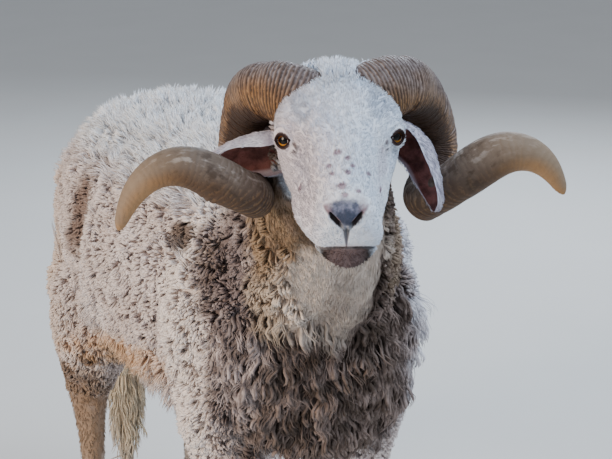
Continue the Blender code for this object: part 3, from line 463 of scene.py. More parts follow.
def volume(points, quads, tris):
    """Six times the volume inside a closed surface: the sum of its triangles' triple products."""
    flat = np.vstack([quads[:, [0, 1, 2]], quads[:, [0, 2, 3]], tris])
    a, b, c = (points[flat[:, i]] for i in range(3))
    return float((a * np.cross(b, c)).sum())


def tube(name, rings):
    """A closed skin over rings P(i, j), each end closed by a fan to its ring's middle, facing outwards."""
    rings = np.asarray(rings, float)
    count, sides = rings.shape[:2]
    points = np.vstack([rings.reshape(-1, 3), rings[0].mean(0), rings[-1].mean(0)])
    quads, tris = grid_faces(count, sides)
    if volume(points - points.mean(0), quads, tris) < 0:
        quads, tris = quads[:, ::-1], tris[:, ::-1]
    return mesh_object(name, points, quads, tris)


def vertices_of(obj, kind="co"):
    """The places of a mesh's vertices, or their normals."""
    found = np.empty(len(obj.data.vertices) * 3, np.float32)
    obj.data.vertices.foreach_get(kind, found)
    return found.reshape(-1, 3).astype(float)


def normals_of(obj):
    return vertices_of(obj, "normal")


def attribute(obj, name, values):
    """One value or vector for each point of a mesh, for its material to read."""
    kind, field = ("FLOAT_VECTOR", "vector") if values.ndim == 2 else ("FLOAT", "value")
    made = obj.data.attributes.new(name, kind, "POINT")
    made.data.foreach_set(field, np.asarray(values, np.float32).ravel())


def to_world(points):
    return np.asarray(points, float) - MIDDLE


def through(matrix, points):
    """Points taken through a 4x4 matrix."""
    matrix = np.array(matrix)
    return points @ matrix[:3, :3].T + matrix[:3, 3]


def ellipse_rings(path, half_widths, half_depths, sides, hint):
    """Ellipse rings square to a path, their width as near to the hint as they can be."""
    along = unit(np.gradient(path, axis=0))
    hint = np.broadcast_to(np.asarray(hint, float), along.shape)
    side = unit(hint - along * (along * hint).sum(1)[:, None])
    over = np.cross(along, side)
    angle = turns(sides)
    wide = np.sin(angle)[None, :, None] * half_widths[:, None, None] * side[:, None]
    deep = np.cos(angle)[None, :, None] * half_depths[:, None, None] * over[:, None]
    return path[:, None] + wide + deep


def trunk_rings(extra, rings, sides):
    """x = (w + e) sin(a)^0.9 and z = middle + (h + e) cos(a)^0.95 at places y along the trunk's table."""
    start, end = TRUNK[0][0], TRUNK[-1][0]
    y = start + (end - start) * (0.5 - 0.5 * np.cos(np.linspace(0, math.pi, rings)))
    half, top, bottom = spline(TRUNK, y).T[:, :, None]
    middle = (top + bottom) / 2 + 0.04 * (top - bottom)
    up = np.cos(turns(sides))
    x = (half + extra) * signed_power(np.sin(turns(sides)), 0.9)
    z = middle + (np.where(up > 0, top - middle, middle - bottom) + extra) * signed_power(up, 0.95)
    y = y + extra * np.interp(y, [start, start + 0.10, end - 0.10, end], [-1, 0, 0, 1])
    return np.stack([x, np.broadcast_to(y[:, None], x.shape), z], 2)


def neck_rings(extra, rings, sides):
    rows = along_path(NECK, rings)
    turn = math.radians(HEAD_TURN) * 0.5
    return ellipse_rings(rows[:, :3], rows[:, 3] + extra, rows[:, 4] + extra, sides,
                         (math.cos(turn), -math.sin(turn), 0))


def stance(table, side):
    """A leg's rows, with the left ones led to where they stand."""
    rows = np.array(table)
    if side > 0:
        out, back = LEFT_HIND_STEP if table is HINDLEG else LEFT_FORE_STEP
        share = np.clip(1 - rows[:, 0] / rows[0, 0], 0, 1)
        rows[:, 2] += out * share
        rows[:, 1] += back * share
    return rows


def leg_rings(table, side, share, rings, sides):
    """Ellipses at each height of a leg, their half sizes grown by a share of its wool."""
    rows = np.column_stack([np.arange(len(table)), stance(table, side)])
    rows = spline(rows, np.linspace(0, len(table) - 1, rings))
    angle = turns(sides)
    wool = rows[:, 5] * share
    x = side * rows[:, 2, None] + (rows[:, 3] + wool)[:, None] * np.sin(angle)
    y = rows[:, 1, None] + (rows[:, 4] + wool)[:, None] * np.cos(angle)
    return np.stack([x, y, np.broadcast_to(rows[:, 0, None], x.shape)], 2)


def level_matrix():
    """From out, back and up beside the head, level, to the world."""
    turn = Matrix.Rotation(-math.radians(HEAD_TURN), 4, "Z")
    roll = Matrix.Rotation(-math.radians(HEAD_ROLL), 4, "Y")
    return Matrix.Translation(Vector(HEAD_ORIGIN) - Vector(MIDDLE)) @ turn @ roll


def head_matrix():
    """From the head's across, back and up to the world."""
    return level_matrix() @ Matrix.Rotation(math.radians(HEAD_PITCH), 4, "X")


def crowded(start, end, count, places):
    """Numbers from start to end that stand closer near each place: (middle, reach, how much closer)."""
    fine = np.linspace(start, end, 4000)
    density = np.ones_like(fine)
    for middle, reach, gain in places:
        density += gain * bell(fine, middle, reach)
    share = np.concatenate([[0], np.cumsum((density[1:] + density[:-1]) / 2)])
    return np.interp(np.linspace(0, share[-1], count), share, fine)


def eye_axes(side, turn):
    """An eye's middle and its ahead, across and up, in the head's across, back and up."""
    turn, rise = math.radians(turn), math.radians(EYE_RISE)
    ahead = np.array([side * math.sin(turn) * math.cos(rise), -math.cos(turn) * math.cos(rise),
                      math.sin(rise)])
    across = np.array([side * math.cos(turn), math.sin(turn), EYE_LEAN])
    across = unit(across - ahead * (across @ ahead))
    up = np.cross(ahead, across) * side
    middle = np.array([side * EYE_PLACE[0], -EYE_PLACE[1], EYE_PLACE[2]])
    return middle, ahead, across, up


def mouth_level(across, along):
    """How high the mouth's line is: lower away from its middle and backwards."""
    return MOUTH_LEVEL - 4.0 * (across - NOSE_MIDDLE) ** 2 - 0.25 * np.clip(0.158 - along, 0, 0.05)


def set_lids(points):
    """Skin near an eye is lifted to the lid's sphere, d' = smooth maximum of d and R, and sinks behind the
    ball inside the almond (u/a)^2 + (v/b)^2 < 1 between the lids, with a fold over it and one under it."""
    for side in (1, -1):
        middle, ahead, across, up = eye_axes(side, EYE_TURN)
        away = points - middle
        distance = np.linalg.norm(away, axis=-1)
        radius = EYE_RADIUS + LID_THICKNESS
        lifted = 0.5 * (distance + radius + np.sqrt((distance - radius) ** 2 + 0.0035**2))
        way = unit(away)
        u, v, w = way @ across * radius, way @ up * radius, way @ ahead
        high = EYE_OPENING[1] * (1 - ALMOND * np.clip(u / EYE_OPENING[0], -1, 1) ** 2)
        inside = np.sqrt((u / EYE_OPENING[0]) ** 2 + (v / high) ** 2)
        sink = (1 - smooth_step(inside, 0.86, 1.0)) * (w > 0)
        crease = 0.0014 * bell(inside, 1.58, 0.13) * (v > -0.002) * (w > 0)
        crease = crease + 0.0008 * bell(inside, 1.50, 0.12) * (v < -0.002) * (w > 0)
        brow = 0.0014 * bell(inside, 1.90, 0.22) * smooth_step(v, 0.0, 0.012)
        reach = lifted * (1 - sink) + (EYE_RADIUS - 0.004) * sink - crease + brow
        near = (distance < 0.034) & (distance > 1e-6)
        points = np.where(near[..., None], middle + way * reach[..., None], points)
    return points


def head_rings(rings=240, sides=200):
    """Rings of the head: x = w sin(a)^taper and z from the table's top, wide and bottom lines, then moved
    out by a sum of h exp(-|offset/reach|^2), then the mouth line, nostrils, lip cleft and lids."""
    along = crowded(HEAD[0][0], HEAD[-1][0], rings, ((0.006, 0.016, 1.8), (0.153, 0.012, 3.0)))
    along[-1] = HEAD[-1][0]
    angle = crowded(0, 2 * math.pi, sides + 1, ((1.45, 0.22, 1.6), (2 * math.pi - 1.45, 0.22, 1.6)))[:-1]
    top, wide, bottom, half = spline(HEAD, along).T[:, :, None]
    up = np.cos(angle)
    taper = np.interp(along, *JAW_TAPER)[:, None]
    x = half * signed_power(np.sin(angle), np.where(up > 0, 1.0, taper))
    z = wide + np.where(up > 0, top - wide, wide - bottom) * signed_power(up, 0.9)
    a = np.broadcast_to(along[:, None], x.shape)
    out = unit(np.stack([x / half, np.zeros_like(x), (z - wide) / (top - bottom)], 2))
    for fa, fx, fz, ra, rx, rz, rise in FACE_FORMS:
        across = np.abs(x) if fx >= 0 else x
        distance = ((a - fa) / ra) ** 2 + ((across - fx) / rx) ** 2 + ((z - fz) / rz) ** 2
        lift = rise * np.exp(-distance)
        x = x + out[..., 0] * lift
        z = z + out[..., 2] * lift
    level = mouth_level(x, a)
    inwards = unit(np.stack([-out[..., 0], 0.9 * smooth_step(a, 0.140, 0.158), -0.3 * out[..., 2]], 2))
    groove = 0.0040 * bell(z, level, 0.0018) * smooth_step(a, MOUTH_CORNER, 0.130)
    cleft = 0.0018 * bell(x, NOSE_MIDDLE, 0.0018) * smooth_step(a, 0.148, 0.154)
    cleft = cleft * smooth_step(z, MOUTH_LEVEL - 0.002, MOUTH_LEVEL + 0.004)
    cleft = cleft * (1 - smooth_step(z, -0.026, -0.018))
    points = np.stack([x, -a, z], 2) + inwards * (groove + cleft)[..., None]
    wide = np.abs(points[..., 0] - NOSE_MIDDLE)
    line = points[..., 2] - NOSTRIL_LINE[0] - NOSTRIL_LINE[1] * wide
    slit = np.exp(-(np.abs(line / 0.0030) ** 2.5)) * smooth_step(wide, 0.0025, 0.0080)
    slit = slit * (1 - smooth_step(wide, 0.0150, 0.0195)) * smooth_step(a, 0.134, 0.146)
    points = points + np.array([0.0, 0.0085, 0.0030]) * slit[..., None]
    return set_lids(points)


def carried_frames(path, start_side):
    """Unit directions along a path, and one across it that is carried along without twist."""
    along = unit(np.gradient(path, axis=0))
    side = np.asarray(start_side, float)
    sides = []
    for direction in along:
        side = unit(side - direction * np.dot(side, direction))
        sides.append(side)
    return along, np.array(sides)


def horn_rows(side):
    """The horn's path and half sizes, with each side's own reach."""
    rows = along_path(HORN, HORN_STEPS)
    for _ in range(3):
        rows[1:-1] = 0.25 * rows[:-2] + 0.5 * rows[1:-1] + 0.25 * rows[2:]
    share = np.linspace(0, 1, HORN_STEPS)
    if side > 0:
        rows[:, 2] += HORN_TIP_LIFT * np.clip((share - 0.60) / 0.40, 0, 1) ** 1.3
        rows[:, 2] -= HORN_LEFT_SAG * arch(share, 0.38, 0.42)
        rows[:, 3] *= 1 + HORN_LEFT_SWELL * arch(share, 0.66, 0.34)
        rows[:, 3] *= 1 - 0.10 * bell(share, 0.60, 0.12)
        curl = arch(share, 0.1, 0.6)
        rows[:, 0] += HORN_LEFT_SPREAD * (curl + 0.6 * share**4)
        rows[:, 0] += 0.006 * bell(share, 0.40, 0.07) - 0.006 * bell(share, 0.21, 0.08)
    else:
        rows[:, 0] -= 0.009 * bell(share, 0.28, 0.10)
        rows[:, 2] += 0.008 * bell(share, 0.77, 0.10)
        rows[:, 3] *= 1 - 0.06 * bell(share, 0.58, 0.10)
    return rows


def make_horn(name, side, steps=860, sides=48):
    """A tube along the horn's path, r(s, a) = thickness less broad rings cos^2 every three wrinkles, whose
    depth wanders round the horn, less a few deep yearly rings and slow lumps."""
    rows = horn_rows(side)
    rows = np.vstack([rows[:1] - (0.012, 0.0, 0.006, 0.006, 0.0), rows])
    count = len(rows)
    path = rows[:, :3] * (side, 1, 1)
    along, across = carried_frames(path, (0, 1, 0))
    fine = spline(np.column_stack([np.arange(count, dtype=float), path, rows[:, 3:], along, across]),
                  np.linspace(0, count - 1, steps))
    path, half, flat = fine[:, :3], fine[:, 3], fine[:, 4]
    along = unit(fine[:, 5:8])
    across = unit(fine[:, 8:11] - along * (fine[:, 8:11] * along).sum(1)[:, None])
    over = np.cross(along, across)
    distance = np.concatenate([[0], np.cumsum(np.linalg.norm(np.diff(path, axis=0), axis=1))])
    share = distance / distance[-1]
    angle = turns(sides)
    s, a = distance[:, None], angle[None, :]
    spacing = np.interp(share, [0, 0.35, 0.6, 1], [0.0032, 0.0036, 0.0066, 0.0100])
    phase = np.cumsum(np.gradient(distance) / spacing)[:, None]
    slant = np.interp(share, [0, 0.4, 0.6, 1], [0.15, 0.3, 1.0, 0.8])[:, None]
    phase = phase + slant * np.sin(a + 0.7) + 0.15 * np.sin(3 * a + s * 30) + 0.40 * np.sin(s * 140 + a)
    ring = 0.5 + 0.5 * np.cos(2 * math.pi * phase / 3)
    uneven = 0.55 + 0.25 * np.sin(s * 310 + 1.7) * np.sin(s * 97)
    uneven = uneven + 0.25 * np.sin(5 * a + s * 60) * np.sin(s * 211)
    deep = np.interp(share, [0, 0.05, 0.45, 0.62, 0.75, 1],
                     [0.0010, 0.0014, 0.0012, 0.0007, 0.0001, 0.0])[:, None]
    years = (0.5 + 0.5 * np.cos(2 * math.pi * s / 0.083 + 0.6)) ** 24
    lump = 0.0010 * np.sin(s * 41 + 1.3 * np.sin(a)) * np.sin(2 * a + s * 9)
    radius = half[:, None] + 0.0006 - ring * deep * uneven - years * deep * 1.6
    radius = radius + lump * np.minimum(1, deep / 0.0006)
    keel = 1 + 0.035 * np.cos(3 * a + 0.5) * np.interp(share, [0, 0.5, 0.8, 1], [1, 1, 0.4, 0])[:, None]
    close = np.sqrt(1 - np.clip((share - 0.978) / 0.022, 0, 1) ** 2 * 0.97)[:, None]
    radius = radius * keel * close
    outward = np.cos(a)[..., None] * over[:, None] + np.sin(a)[..., None] * across[:, None]
    rings = (path[:, None] + (radius * np.cos(a))[..., None] * over[:, None]
             + (radius * flat[:, None] * np.sin(a))[..., None] * across[:, None])
    if side < 0:
        flake = bell(share, 0.715, 0.022)[:, None] * smooth_step(-outward[..., 2], 0.55, 0.9)
        rings[..., 2] -= 0.0042 * flake * (0.7 + 0.3 * np.sin(s * 700))
    turned = np.array([side * 0.098, 0.098, -0.020]) - path
    hollow = (outward * unit(turned)[:, None]).sum(2) * np.exp(-(((share - 0.33) / 0.25) ** 4))[:, None]
    obj = tube(name, through(level_matrix(), rings))
    for kind, facts in (("growth", (hollow, phase / 10, share[:, None])),
                        ("bands", (np.cos(a), np.sin(a), s * 10))):
        facts = np.stack(np.broadcast_arrays(*facts), 2).reshape(-1, 3)
        attribute(obj, kind, np.vstack([facts, facts[:1], facts[-1:]]))
    return obj


def make_ear(name, side, rings=90, sides=88):
    """A rolled leaf: its section is an arc over the two angles of EAR_SWEEP, P(q) = w (sin q across - k
    cos q front), with a skin of 3 to 5 mm, closed and rounded at both rims and at the tip, carried along
    its path."""
    rows = along_path(EAR_LEFT if side > 0 else EAR_RIGHT, rings)
    path = rows[:, :3] * (side, 1, 1)
    along = unit(np.gradient(path, axis=0))
    front = np.array(EAR_OPENING[side])
    front = unit(front - along * (along @ front)[:, None])
    across = np.cross(along, front)
    share = np.linspace(0, 1, rings)[:, None]
    angle = turns(sides)[None, :]
    t = np.cos(angle)
    close = np.sqrt(np.clip(1 - ((share - 0.88) / 0.12).clip(0, 1) ** 2, 0.0, 1))
    short, long = (s * (1 - 0.30 * share**2) * (0.65 + 0.35 * close) for s in EAR_SWEEP[side])
    q = -side * ((short - long) / 2 + (short + long) / 2 * t) + 0.08 * np.sin(share * 9) * t
    thick = (0.0048 - 0.0022 * share) * (1 - 0.4 * t**2) * (0.35 + 0.65 * close)
    ridges = 0.0008 * np.sin(11 * t) * (np.sin(angle) > 0) * (1 - t**2) * (1 - share)
    wide = rows[:, 3, None] * (0.30 + 0.70 * close)
    deep = wide * (0.95 - 0.25 * share)
    reach = signed_power(np.sin(angle), 0.6) * thick / 2 + ridges
    x = (wide - reach) * np.sin(q)
    y = -(deep - reach) * np.cos(q)
    ringed = path[:, None] + x[..., None] * across[:, None] + y[..., None] * front[:, None]
    obj = tube(name, through(level_matrix(), ringed))
    lip = 1 - 0.50 * smooth_step(np.abs(q), 1.75, 2.15)
    inner = (smooth_step(np.sin(angle) + 0 * share, -0.05, 0.35) * lip).ravel()
    attribute(obj, "inner", np.concatenate([inner, inner[:1], inner[-1:]]))
    return obj


def make_eye(name, side, rings=60, sides=72):
    """A sphere with the cornea's bulge, r = R + 0.0011 exp(-(t/0.5)^2), t radians from the way it looks."""
    middle, ahead, across, up = eye_axes(side, IRIS_TURN)
    t = np.linspace(0, math.pi, rings + 2)[1:-1, None]
    angle = turns(sides)[None, :]
    radius = EYE_RADIUS + 0.0011 * np.exp(-((t / 0.5) ** 2))
    u, v = radius * np.sin(t) * np.cos(angle), radius * np.sin(t) * np.sin(angle)
    w = radius * np.cos(t) + 0 * angle
    points = middle + u[..., None] * across + v[..., None] * up + w[..., None] * ahead
    obj = tube(name, through(head_matrix(), points))
    gaze = np.stack([u, v, t + 0 * angle], 2).reshape(-1, 3)
    attribute(obj, "gaze", np.vstack([gaze, [0, 0, 0], [0, 0, math.pi]]))
    return obj


def make_lids(name, side, steps=96, sides=14):
    """The rims of both lids: a small rounded profile carried round the almond between them, on the ball."""
    middle, ahead, across, up = eye_axes(side, EYE_TURN)
    around = turns(steps)[:, None]
    bead = turns(sides)[None, :]
    corner = np.abs(np.cos(around)) ** 8
    size = 0.99 + (0.10 + 0.04 * (np.sin(around) > 0)) * np.cos(bead)
    u = EYE_OPENING[0] * np.cos(around) * size - 0.0020 * (np.cos(around) < 0) * corner
    v = EYE_OPENING[1] * np.sin(around) * (1 - ALMOND * np.cos(around) ** 2) * size
    radius = EYE_RADIUS + LID_THICKNESS
    height = EYE_RADIUS + 0.0020 + (0.0018 + 0.0006 * (np.sin(around) > 0)) * np.sin(bead)
    w = np.sqrt(np.clip(radius**2 - u**2 - v**2, 1e-6, None))
    way = unit(u[..., None] * across + v[..., None] * up + w[..., None] * ahead)
    rings = through(head_matrix(), middle + way * height[..., None])
    i, j = np.meshgrid(np.arange(steps), np.arange(sides), indexing="ij")
    ii, jj = (i + 1) % steps, (j + 1) % sides
    quads = np.stack([i * sides + j, ii * sides + j, ii * sides + jj, i * sides + jj], 2).reshape(-1, 4)
    points = rings.reshape(-1, 3)
    if volume(points - points.mean(0), quads, np.empty((0, 3), int)) < 0:
        quads = quads[:, ::-1]
    return mesh_object(name, points, quads)


def make_claw(name, table, side, claw, rings=40, sides=56):
    """A claw: ovals stacked from the sole up, pinched at the toe, shrinking, leaning back, finely ringed."""
    length, width = CLAW
    y_foot, x_foot = stance(table, side)[-1, 1:3] * (1, side)
    high = np.linspace(0, HOOF_TOP, rings)[:, None]
    share = np.interp(high, [0, 0.002, 0.010, 0.028, HOOF_TOP], [0.965, 1.0, 1.0, 0.93, 0.86])
    back = np.interp(high, [0, 0.010, 0.028, HOOF_TOP], [-0.002, -0.001, 0.002, 0.005])
    angle = turns(sides)[None, :]
    ripple = 1 + 0.007 * np.sin(high * 2 * math.pi / 0.0036 + 0.8 * np.cos(angle)) * (high > 0.004)
    y = -signed_power(np.cos(angle), 0.9) * length / 2 * share * ripple
    toe = np.interp(y, [-length / 2, length / 2], [0.66, 1.0])
    x = 0.5 + signed_power(-np.sin(angle), 0.8) * 0.5 * ripple
    x = x * width * share * toe
    points = np.stack([x_foot + claw * (CLEFT + x), y_foot + y + back, high + 0 * y], 2)
    return tube(name, to_world(points))


def make_scrotum(name, rings=70, sides=84):
    """An egg with a seam down its middle, two lobes, and fine folds across."""
    middle, half = SCROTUM
    t = np.linspace(0, math.pi, rings + 2)[1:-1, None]
    angle = turns(sides)[None, :]
    lobes = 1 - 0.10 * np.exp(-((np.cos(angle) / 0.16) ** 2)) * np.sin(t)
    folds = 1 + 0.014 * np.sin(26 * t + 2 * np.sin(2 * angle)) * np.sin(t)
    x = half[0] * np.sin(t) * np.cos(angle) * lobes * folds
    y = half[1] * np.sin(t) * np.sin(angle) * folds * (1 - 0.04 * np.abs(np.cos(angle)))
    points = np.stack([x, y, half[2] * np.cos(t) + 0 * angle], 2) + middle
    return tube(name, to_world(points))


def apply_modifiers(obj):
    """Leaves the mesh that an object's modifiers make."""
    depsgraph = bpy.context.evaluated_depsgraph_get()
    made = bpy.data.meshes.new_from_object(obj.evaluated_get(depsgraph))
    obj.modifiers.clear()
    old = obj.data
    obj.data = made
    bpy.data.meshes.remove(old)
    made.shade_smooth()


def fold_body(body):
    """Moves the body's skin along its normals: P + n (sum of h exp(-|offset/reach|^2) + lumps)."""
    points, normals = vertices_of(body), normals_of(body)
    p = points + MIDDLE
    both = p.copy()
    both[:, 0] = np.abs(both[:, 0])
    height = np.zeros(len(p))
    for x, y, z, rx, ry, rz, rise in BODY_FORMS:
        distance = ((both - (x, y, z)) / (rx, ry, rz)) ** 2
        height += rise * np.exp(-distance.sum(1))
    wool = smooth_step(p[:, 2], 0.36, 0.46) * (1 - smooth_step(p[:, 2], 0.82, 0.90))
    wool = wool * (1 - smooth_step(p[:, 1], 0.40, 0.43))
    height = (height + 0.0040 * lumps(p, 0.080, 1) + 0.0026 * lumps(p, 0.036, 2)) * wool
    points = points + normals * height[:, None]
    body.data.vertices.foreach_set("co", points.astype(np.float32).ravel())
    body.data.update()


def make_skin():
    """Trunk, neck, legs and tail fused and smoothed, then joined with the fine head into one closed skin."""
    pieces = [tube("trunk", to_world(trunk_rings(SKIN_OVER_TRUNK, 60, 72)))]
    pieces.append(tube("neck", to_world(neck_rings(SKIN_OVER_NECK, 40, 60))))
    for side in (1, -1):
        for table in (FORELEG, HINDLEG):
            pieces.append(tube("leg", to_world(leg_rings(table, side, LEG_WOOL_IN_SKIN, 80, 32))))
    rows = along_path(TAIL, 60)
    core = ellipse_rings(rows[:, :3], rows[:, 3] * TAIL_IN_SKIN, rows[:, 4] * TAIL_IN_SKIN, 24, (1, 0, 0))
    pieces.append(tube("tail_core", to_world(core)))
    points = np.vstack([vertices_of(p) for p in pieces])
    starts = np.cumsum([0] + [len(p.data.vertices) for p in pieces])
    quads, tris = [], []
    for start, piece in zip(starts, pieces):
        for polygon in piece.data.polygons:
            corners = [start + c for c in polygon.vertices]
            (quads if len(corners) == 4 else tris).append(corners)
    body = mesh_object("body_skin", points, np.array(quads), np.array(tris))
    for piece in pieces:
        bpy.data.objects.remove(piece)
    remesh = body.modifiers.new("fuse", "REMESH")
    remesh.mode = "VOXEL"
    remesh.voxel_size = VOXEL
    smooth = body.modifiers.new("ease", "SMOOTH")
    smooth.factor = 0.5
    smooth.iterations = 6
    apply_modifiers(body)
    fold_body(body)
    head = tube("head_skin", through(head_matrix(), head_rings()))
    union = body.modifiers.new("join", "BOOLEAN")
    union.operation = "UNION"
    union.solver = "MANIFOLD"
    union.object = head
    apply_modifiers(body)
    bpy.data.objects.remove(head)
    body.name = "skin"
    return body


# Coat.


def sample_skin(skin, count, part=None):
    """Points spread evenly at random over a mesh's area: P = A + u AB + v AC with u + v < 1."""
    mesh = skin.data
    mesh.calc_loop_triangles()
    corners = np.empty(len(mesh.loop_triangles) * 3, np.int32)
    mesh.loop_triangles.foreach_get("vertices", corners)
    corners = corners.reshape(-1, 3)
    points, normals = vertices_of(skin), normals_of(skin)
    a, b, c = (points[corners[:, i]] for i in range(3))
    area = np.linalg.norm(np.cross(b - a, c - a), axis=1)
    picked = np.searchsorted(np.cumsum(area), chance.random(count) * area.sum())
    picked = np.minimum(picked, len(corners) - 1)
    u, v = chance.random((2, count))
    u, v = np.where(u + v > 1, 1 - u, u), np.where(u + v > 1, 1 - v, v)
    shares = np.stack([1 - u - v, u, v], 1)
    place = np.einsum("nk,nkd->nd", shares, points[corners[picked]])
    out = unit(np.einsum("nk,nkd->nd", shares, normals[corners[picked]]))
    parts = part_of(place) if part is None else np.full(count, part)
    return Roots(place, out, parts, lie_of(place, out, parts), np.ones(count), area.sum() / 2)


def part_of(place):
    """The code of the part that a point is on, by the solids' cuts."""
    p = place + MIDDLE
    x, y, z = p.T
    part = np.full(len(p), ON_TRUNK)
    neck_way = unit(np.array(NECK_CUT[1]))
    part[(p - NECK_CUT[0]) @ neck_way < 0] = ON_NECK
    head_point = np.array(level_matrix() @ Vector((0, HEAD_CUT_BACK, -HEAD_CUT_DOWN))) + MIDDLE
    part[(p - head_point) @ unit(np.array(HEAD_CUT_WAY)) < 0] = ON_HEAD
    for code, cut in ((ON_FORELEG, FORELEG_CUT), (ON_HINDLEG, HINDLEG_CUT)):
        start, end, height, slope = cut
        below = (np.abs(x) > LEG_CUT_INNER) & (z < height + slope * (np.abs(x) - LEG_CUT_INNER))
        here = below & (y > start) & (y < end)
        part[here & (x > 0)] = code
        part[here & (x < 0)] = code + 1
    part[(np.abs(x) < 0.055) & (y > 0.412) & (z < 0.72)] = ON_TAIL
    return part


def in_head(place):
    """Across, along and up in the head."""
    matrix = np.array(head_matrix())
    local = (place - matrix[:3, 3]) @ matrix[:3, :3]
    return local * (1, -1, 1)


def unwrap(place, part):
    """The skin unrolled: round each part's own axis by along it, each part in a rectangle of its own."""
    p = place + MIDDLE
    x, y, z = p.T
    head = in_head(place)
    axis = unit(np.array(NECK[-1][:3]) - np.array(NECK[1][:3]))
    side = unit(np.cross(axis, (0, 0, 1.0)))
    over = np.cross(side, axis)
    from_neck = p - np.array(NECK[1][:3])
    full = 2 * math.pi
    made = np.zeros((len(p), 2))
    level = np.array(level_matrix())
    ear = (place - level[:3, 3]) @ level[:3, :3]
    spots = (
        (ON_TRUNK, np.arctan2(x, z - 0.6) / full, (y + 0.40) / 0.84, (0.01, 0.01, 0.58, 0.55)),
        (ON_NECK, np.arctan2(from_neck @ side, from_neck @ over) / full, from_neck @ axis / 0.5 + 0.2,
         (0.61, 0.01, 0.25, 0.30)),
        (ON_HEAD, np.arctan2(head[:, 0], head[:, 2] + 0.02) / full, (head[:, 1] + 0.14) / 0.31,
         (0.01, 0.58, 0.58, 0.41)),
        (ON_FORELEG, np.arctan2(x - 0.10, -(y + 0.23)) / full, z / 0.62, (0.61, 0.33, 0.18, 0.32)),
        (ON_FORELEG + 1, np.arctan2(x + 0.10, -(y + 0.23)) / full, z / 0.62, (0.81, 0.33, 0.18, 0.32)),
        (ON_HINDLEG, np.arctan2(x - 0.11, -(y - 0.35)) / full, z / 0.72, (0.61, 0.67, 0.18, 0.32)),
        (ON_HINDLEG + 1, np.arctan2(x + 0.12, -(y - 0.32)) / full, z / 0.72, (0.81, 0.67, 0.09, 0.32)),
        (ON_TAIL, np.arctan2(x, y - 0.48) / full, z / 0.75, (0.91, 0.67, 0.08, 0.32)),
        (ON_EAR_LEFT, (ear[:, 1] - 0.02) / 0.12, (ear[:, 2] + 0.11) / 0.13, (0.88, 0.01, 0.11, 0.14)),
        (ON_EAR_RIGHT, (ear[:, 2] + 0.03) / 0.12, (-ear[:, 0] - 0.03) / 0.15, (0.88, 0.16, 0.11, 0.14)),
    )
    for code, turn, way, (left, low, wide, high) in spots:
        here = part == code
        made[here, 0] = left + wide * np.clip(turn[here] + 0.5, 0, 1)
        made[here, 1] = low + high * np.clip(way[here], 0, 1)
    return made


def lie_of(place, out, part):
    """The way that the coat lies: down and back on the body, from nose to crown and cheeks on the head,
    and from root to tip on the ears."""
    matrix = np.array(head_matrix())[:3, :3]
    head = in_head(place)
    ahead = smooth_step(-(place + MIDDLE)[:, 1], 0.20, 0.27)[:, None]
    way = np.array([0.0, 0.35, -1.0]) * (1 - ahead) + np.array([0.0, -0.05, -1.0]) * ahead
    top = smooth_step(out[:, 2], 0.3, 0.8)[:, None]
    way = way * (1 - top) + np.array([0.0, 1.0, -0.2]) * top
    way[part >= ON_FORELEG] = (0.0, 0.05, -1.0)
    across = head[:, 0] / 0.05
    local = np.stack([0.75 * across, np.ones(len(place)),
                      0.4 - 0.9 * smooth_step(-head[:, 2], 0.02, 0.09)], 1)
    way = np.where((part == ON_HEAD)[:, None], local @ matrix.T, way)
    for code, table, side in ((ON_EAR_LEFT, EAR_LEFT, 1), (ON_EAR_RIGHT, EAR_RIGHT, -1)):
        reach = (np.array(table[-1][:3]) - np.array(table[0][:3])) * (side, 1, 1)
        way[part == code] = np.array(level_matrix())[:3, :3] @ reach
    way = way - out * (way * out).sum(1)[:, None]
    return unit(way)


def nearest(places, centres):
    """The number of the centre that is closest to each place."""
    tree = kdtree.KDTree(len(centres))
    for number, centre in enumerate(centres):
        tree.insert(centre, number)
    tree.balance()
    return np.array([tree.find(place)[1] for place in places])


class Roots:
    """Where tufts grow: places on the skin, ways out and along the lie, parts, sizes, the area shared."""

    def __init__(self, place, out, part, lie, size, area):
        self.place, self.out, self.part, self.lie, self.size, self.area = place, out, part, lie, size, area

    def __len__(self):
        return len(self.place)

    def take(self, chosen, area):
        return Roots(self.place[chosen], self.out[chosen], self.part[chosen], self.lie[chosen],
                     self.size[chosen], area)

    def only(self, chosen):
        """Those that a test picks, and their own area."""
        share = (chosen.sum() if chosen.dtype == bool else len(chosen)) / len(self)
        return self.take(chosen, self.area * share)

    def some(self, count):
        """A random few, over the same area."""
        return self.take(chance.permutation(len(self))[:count], self.area)


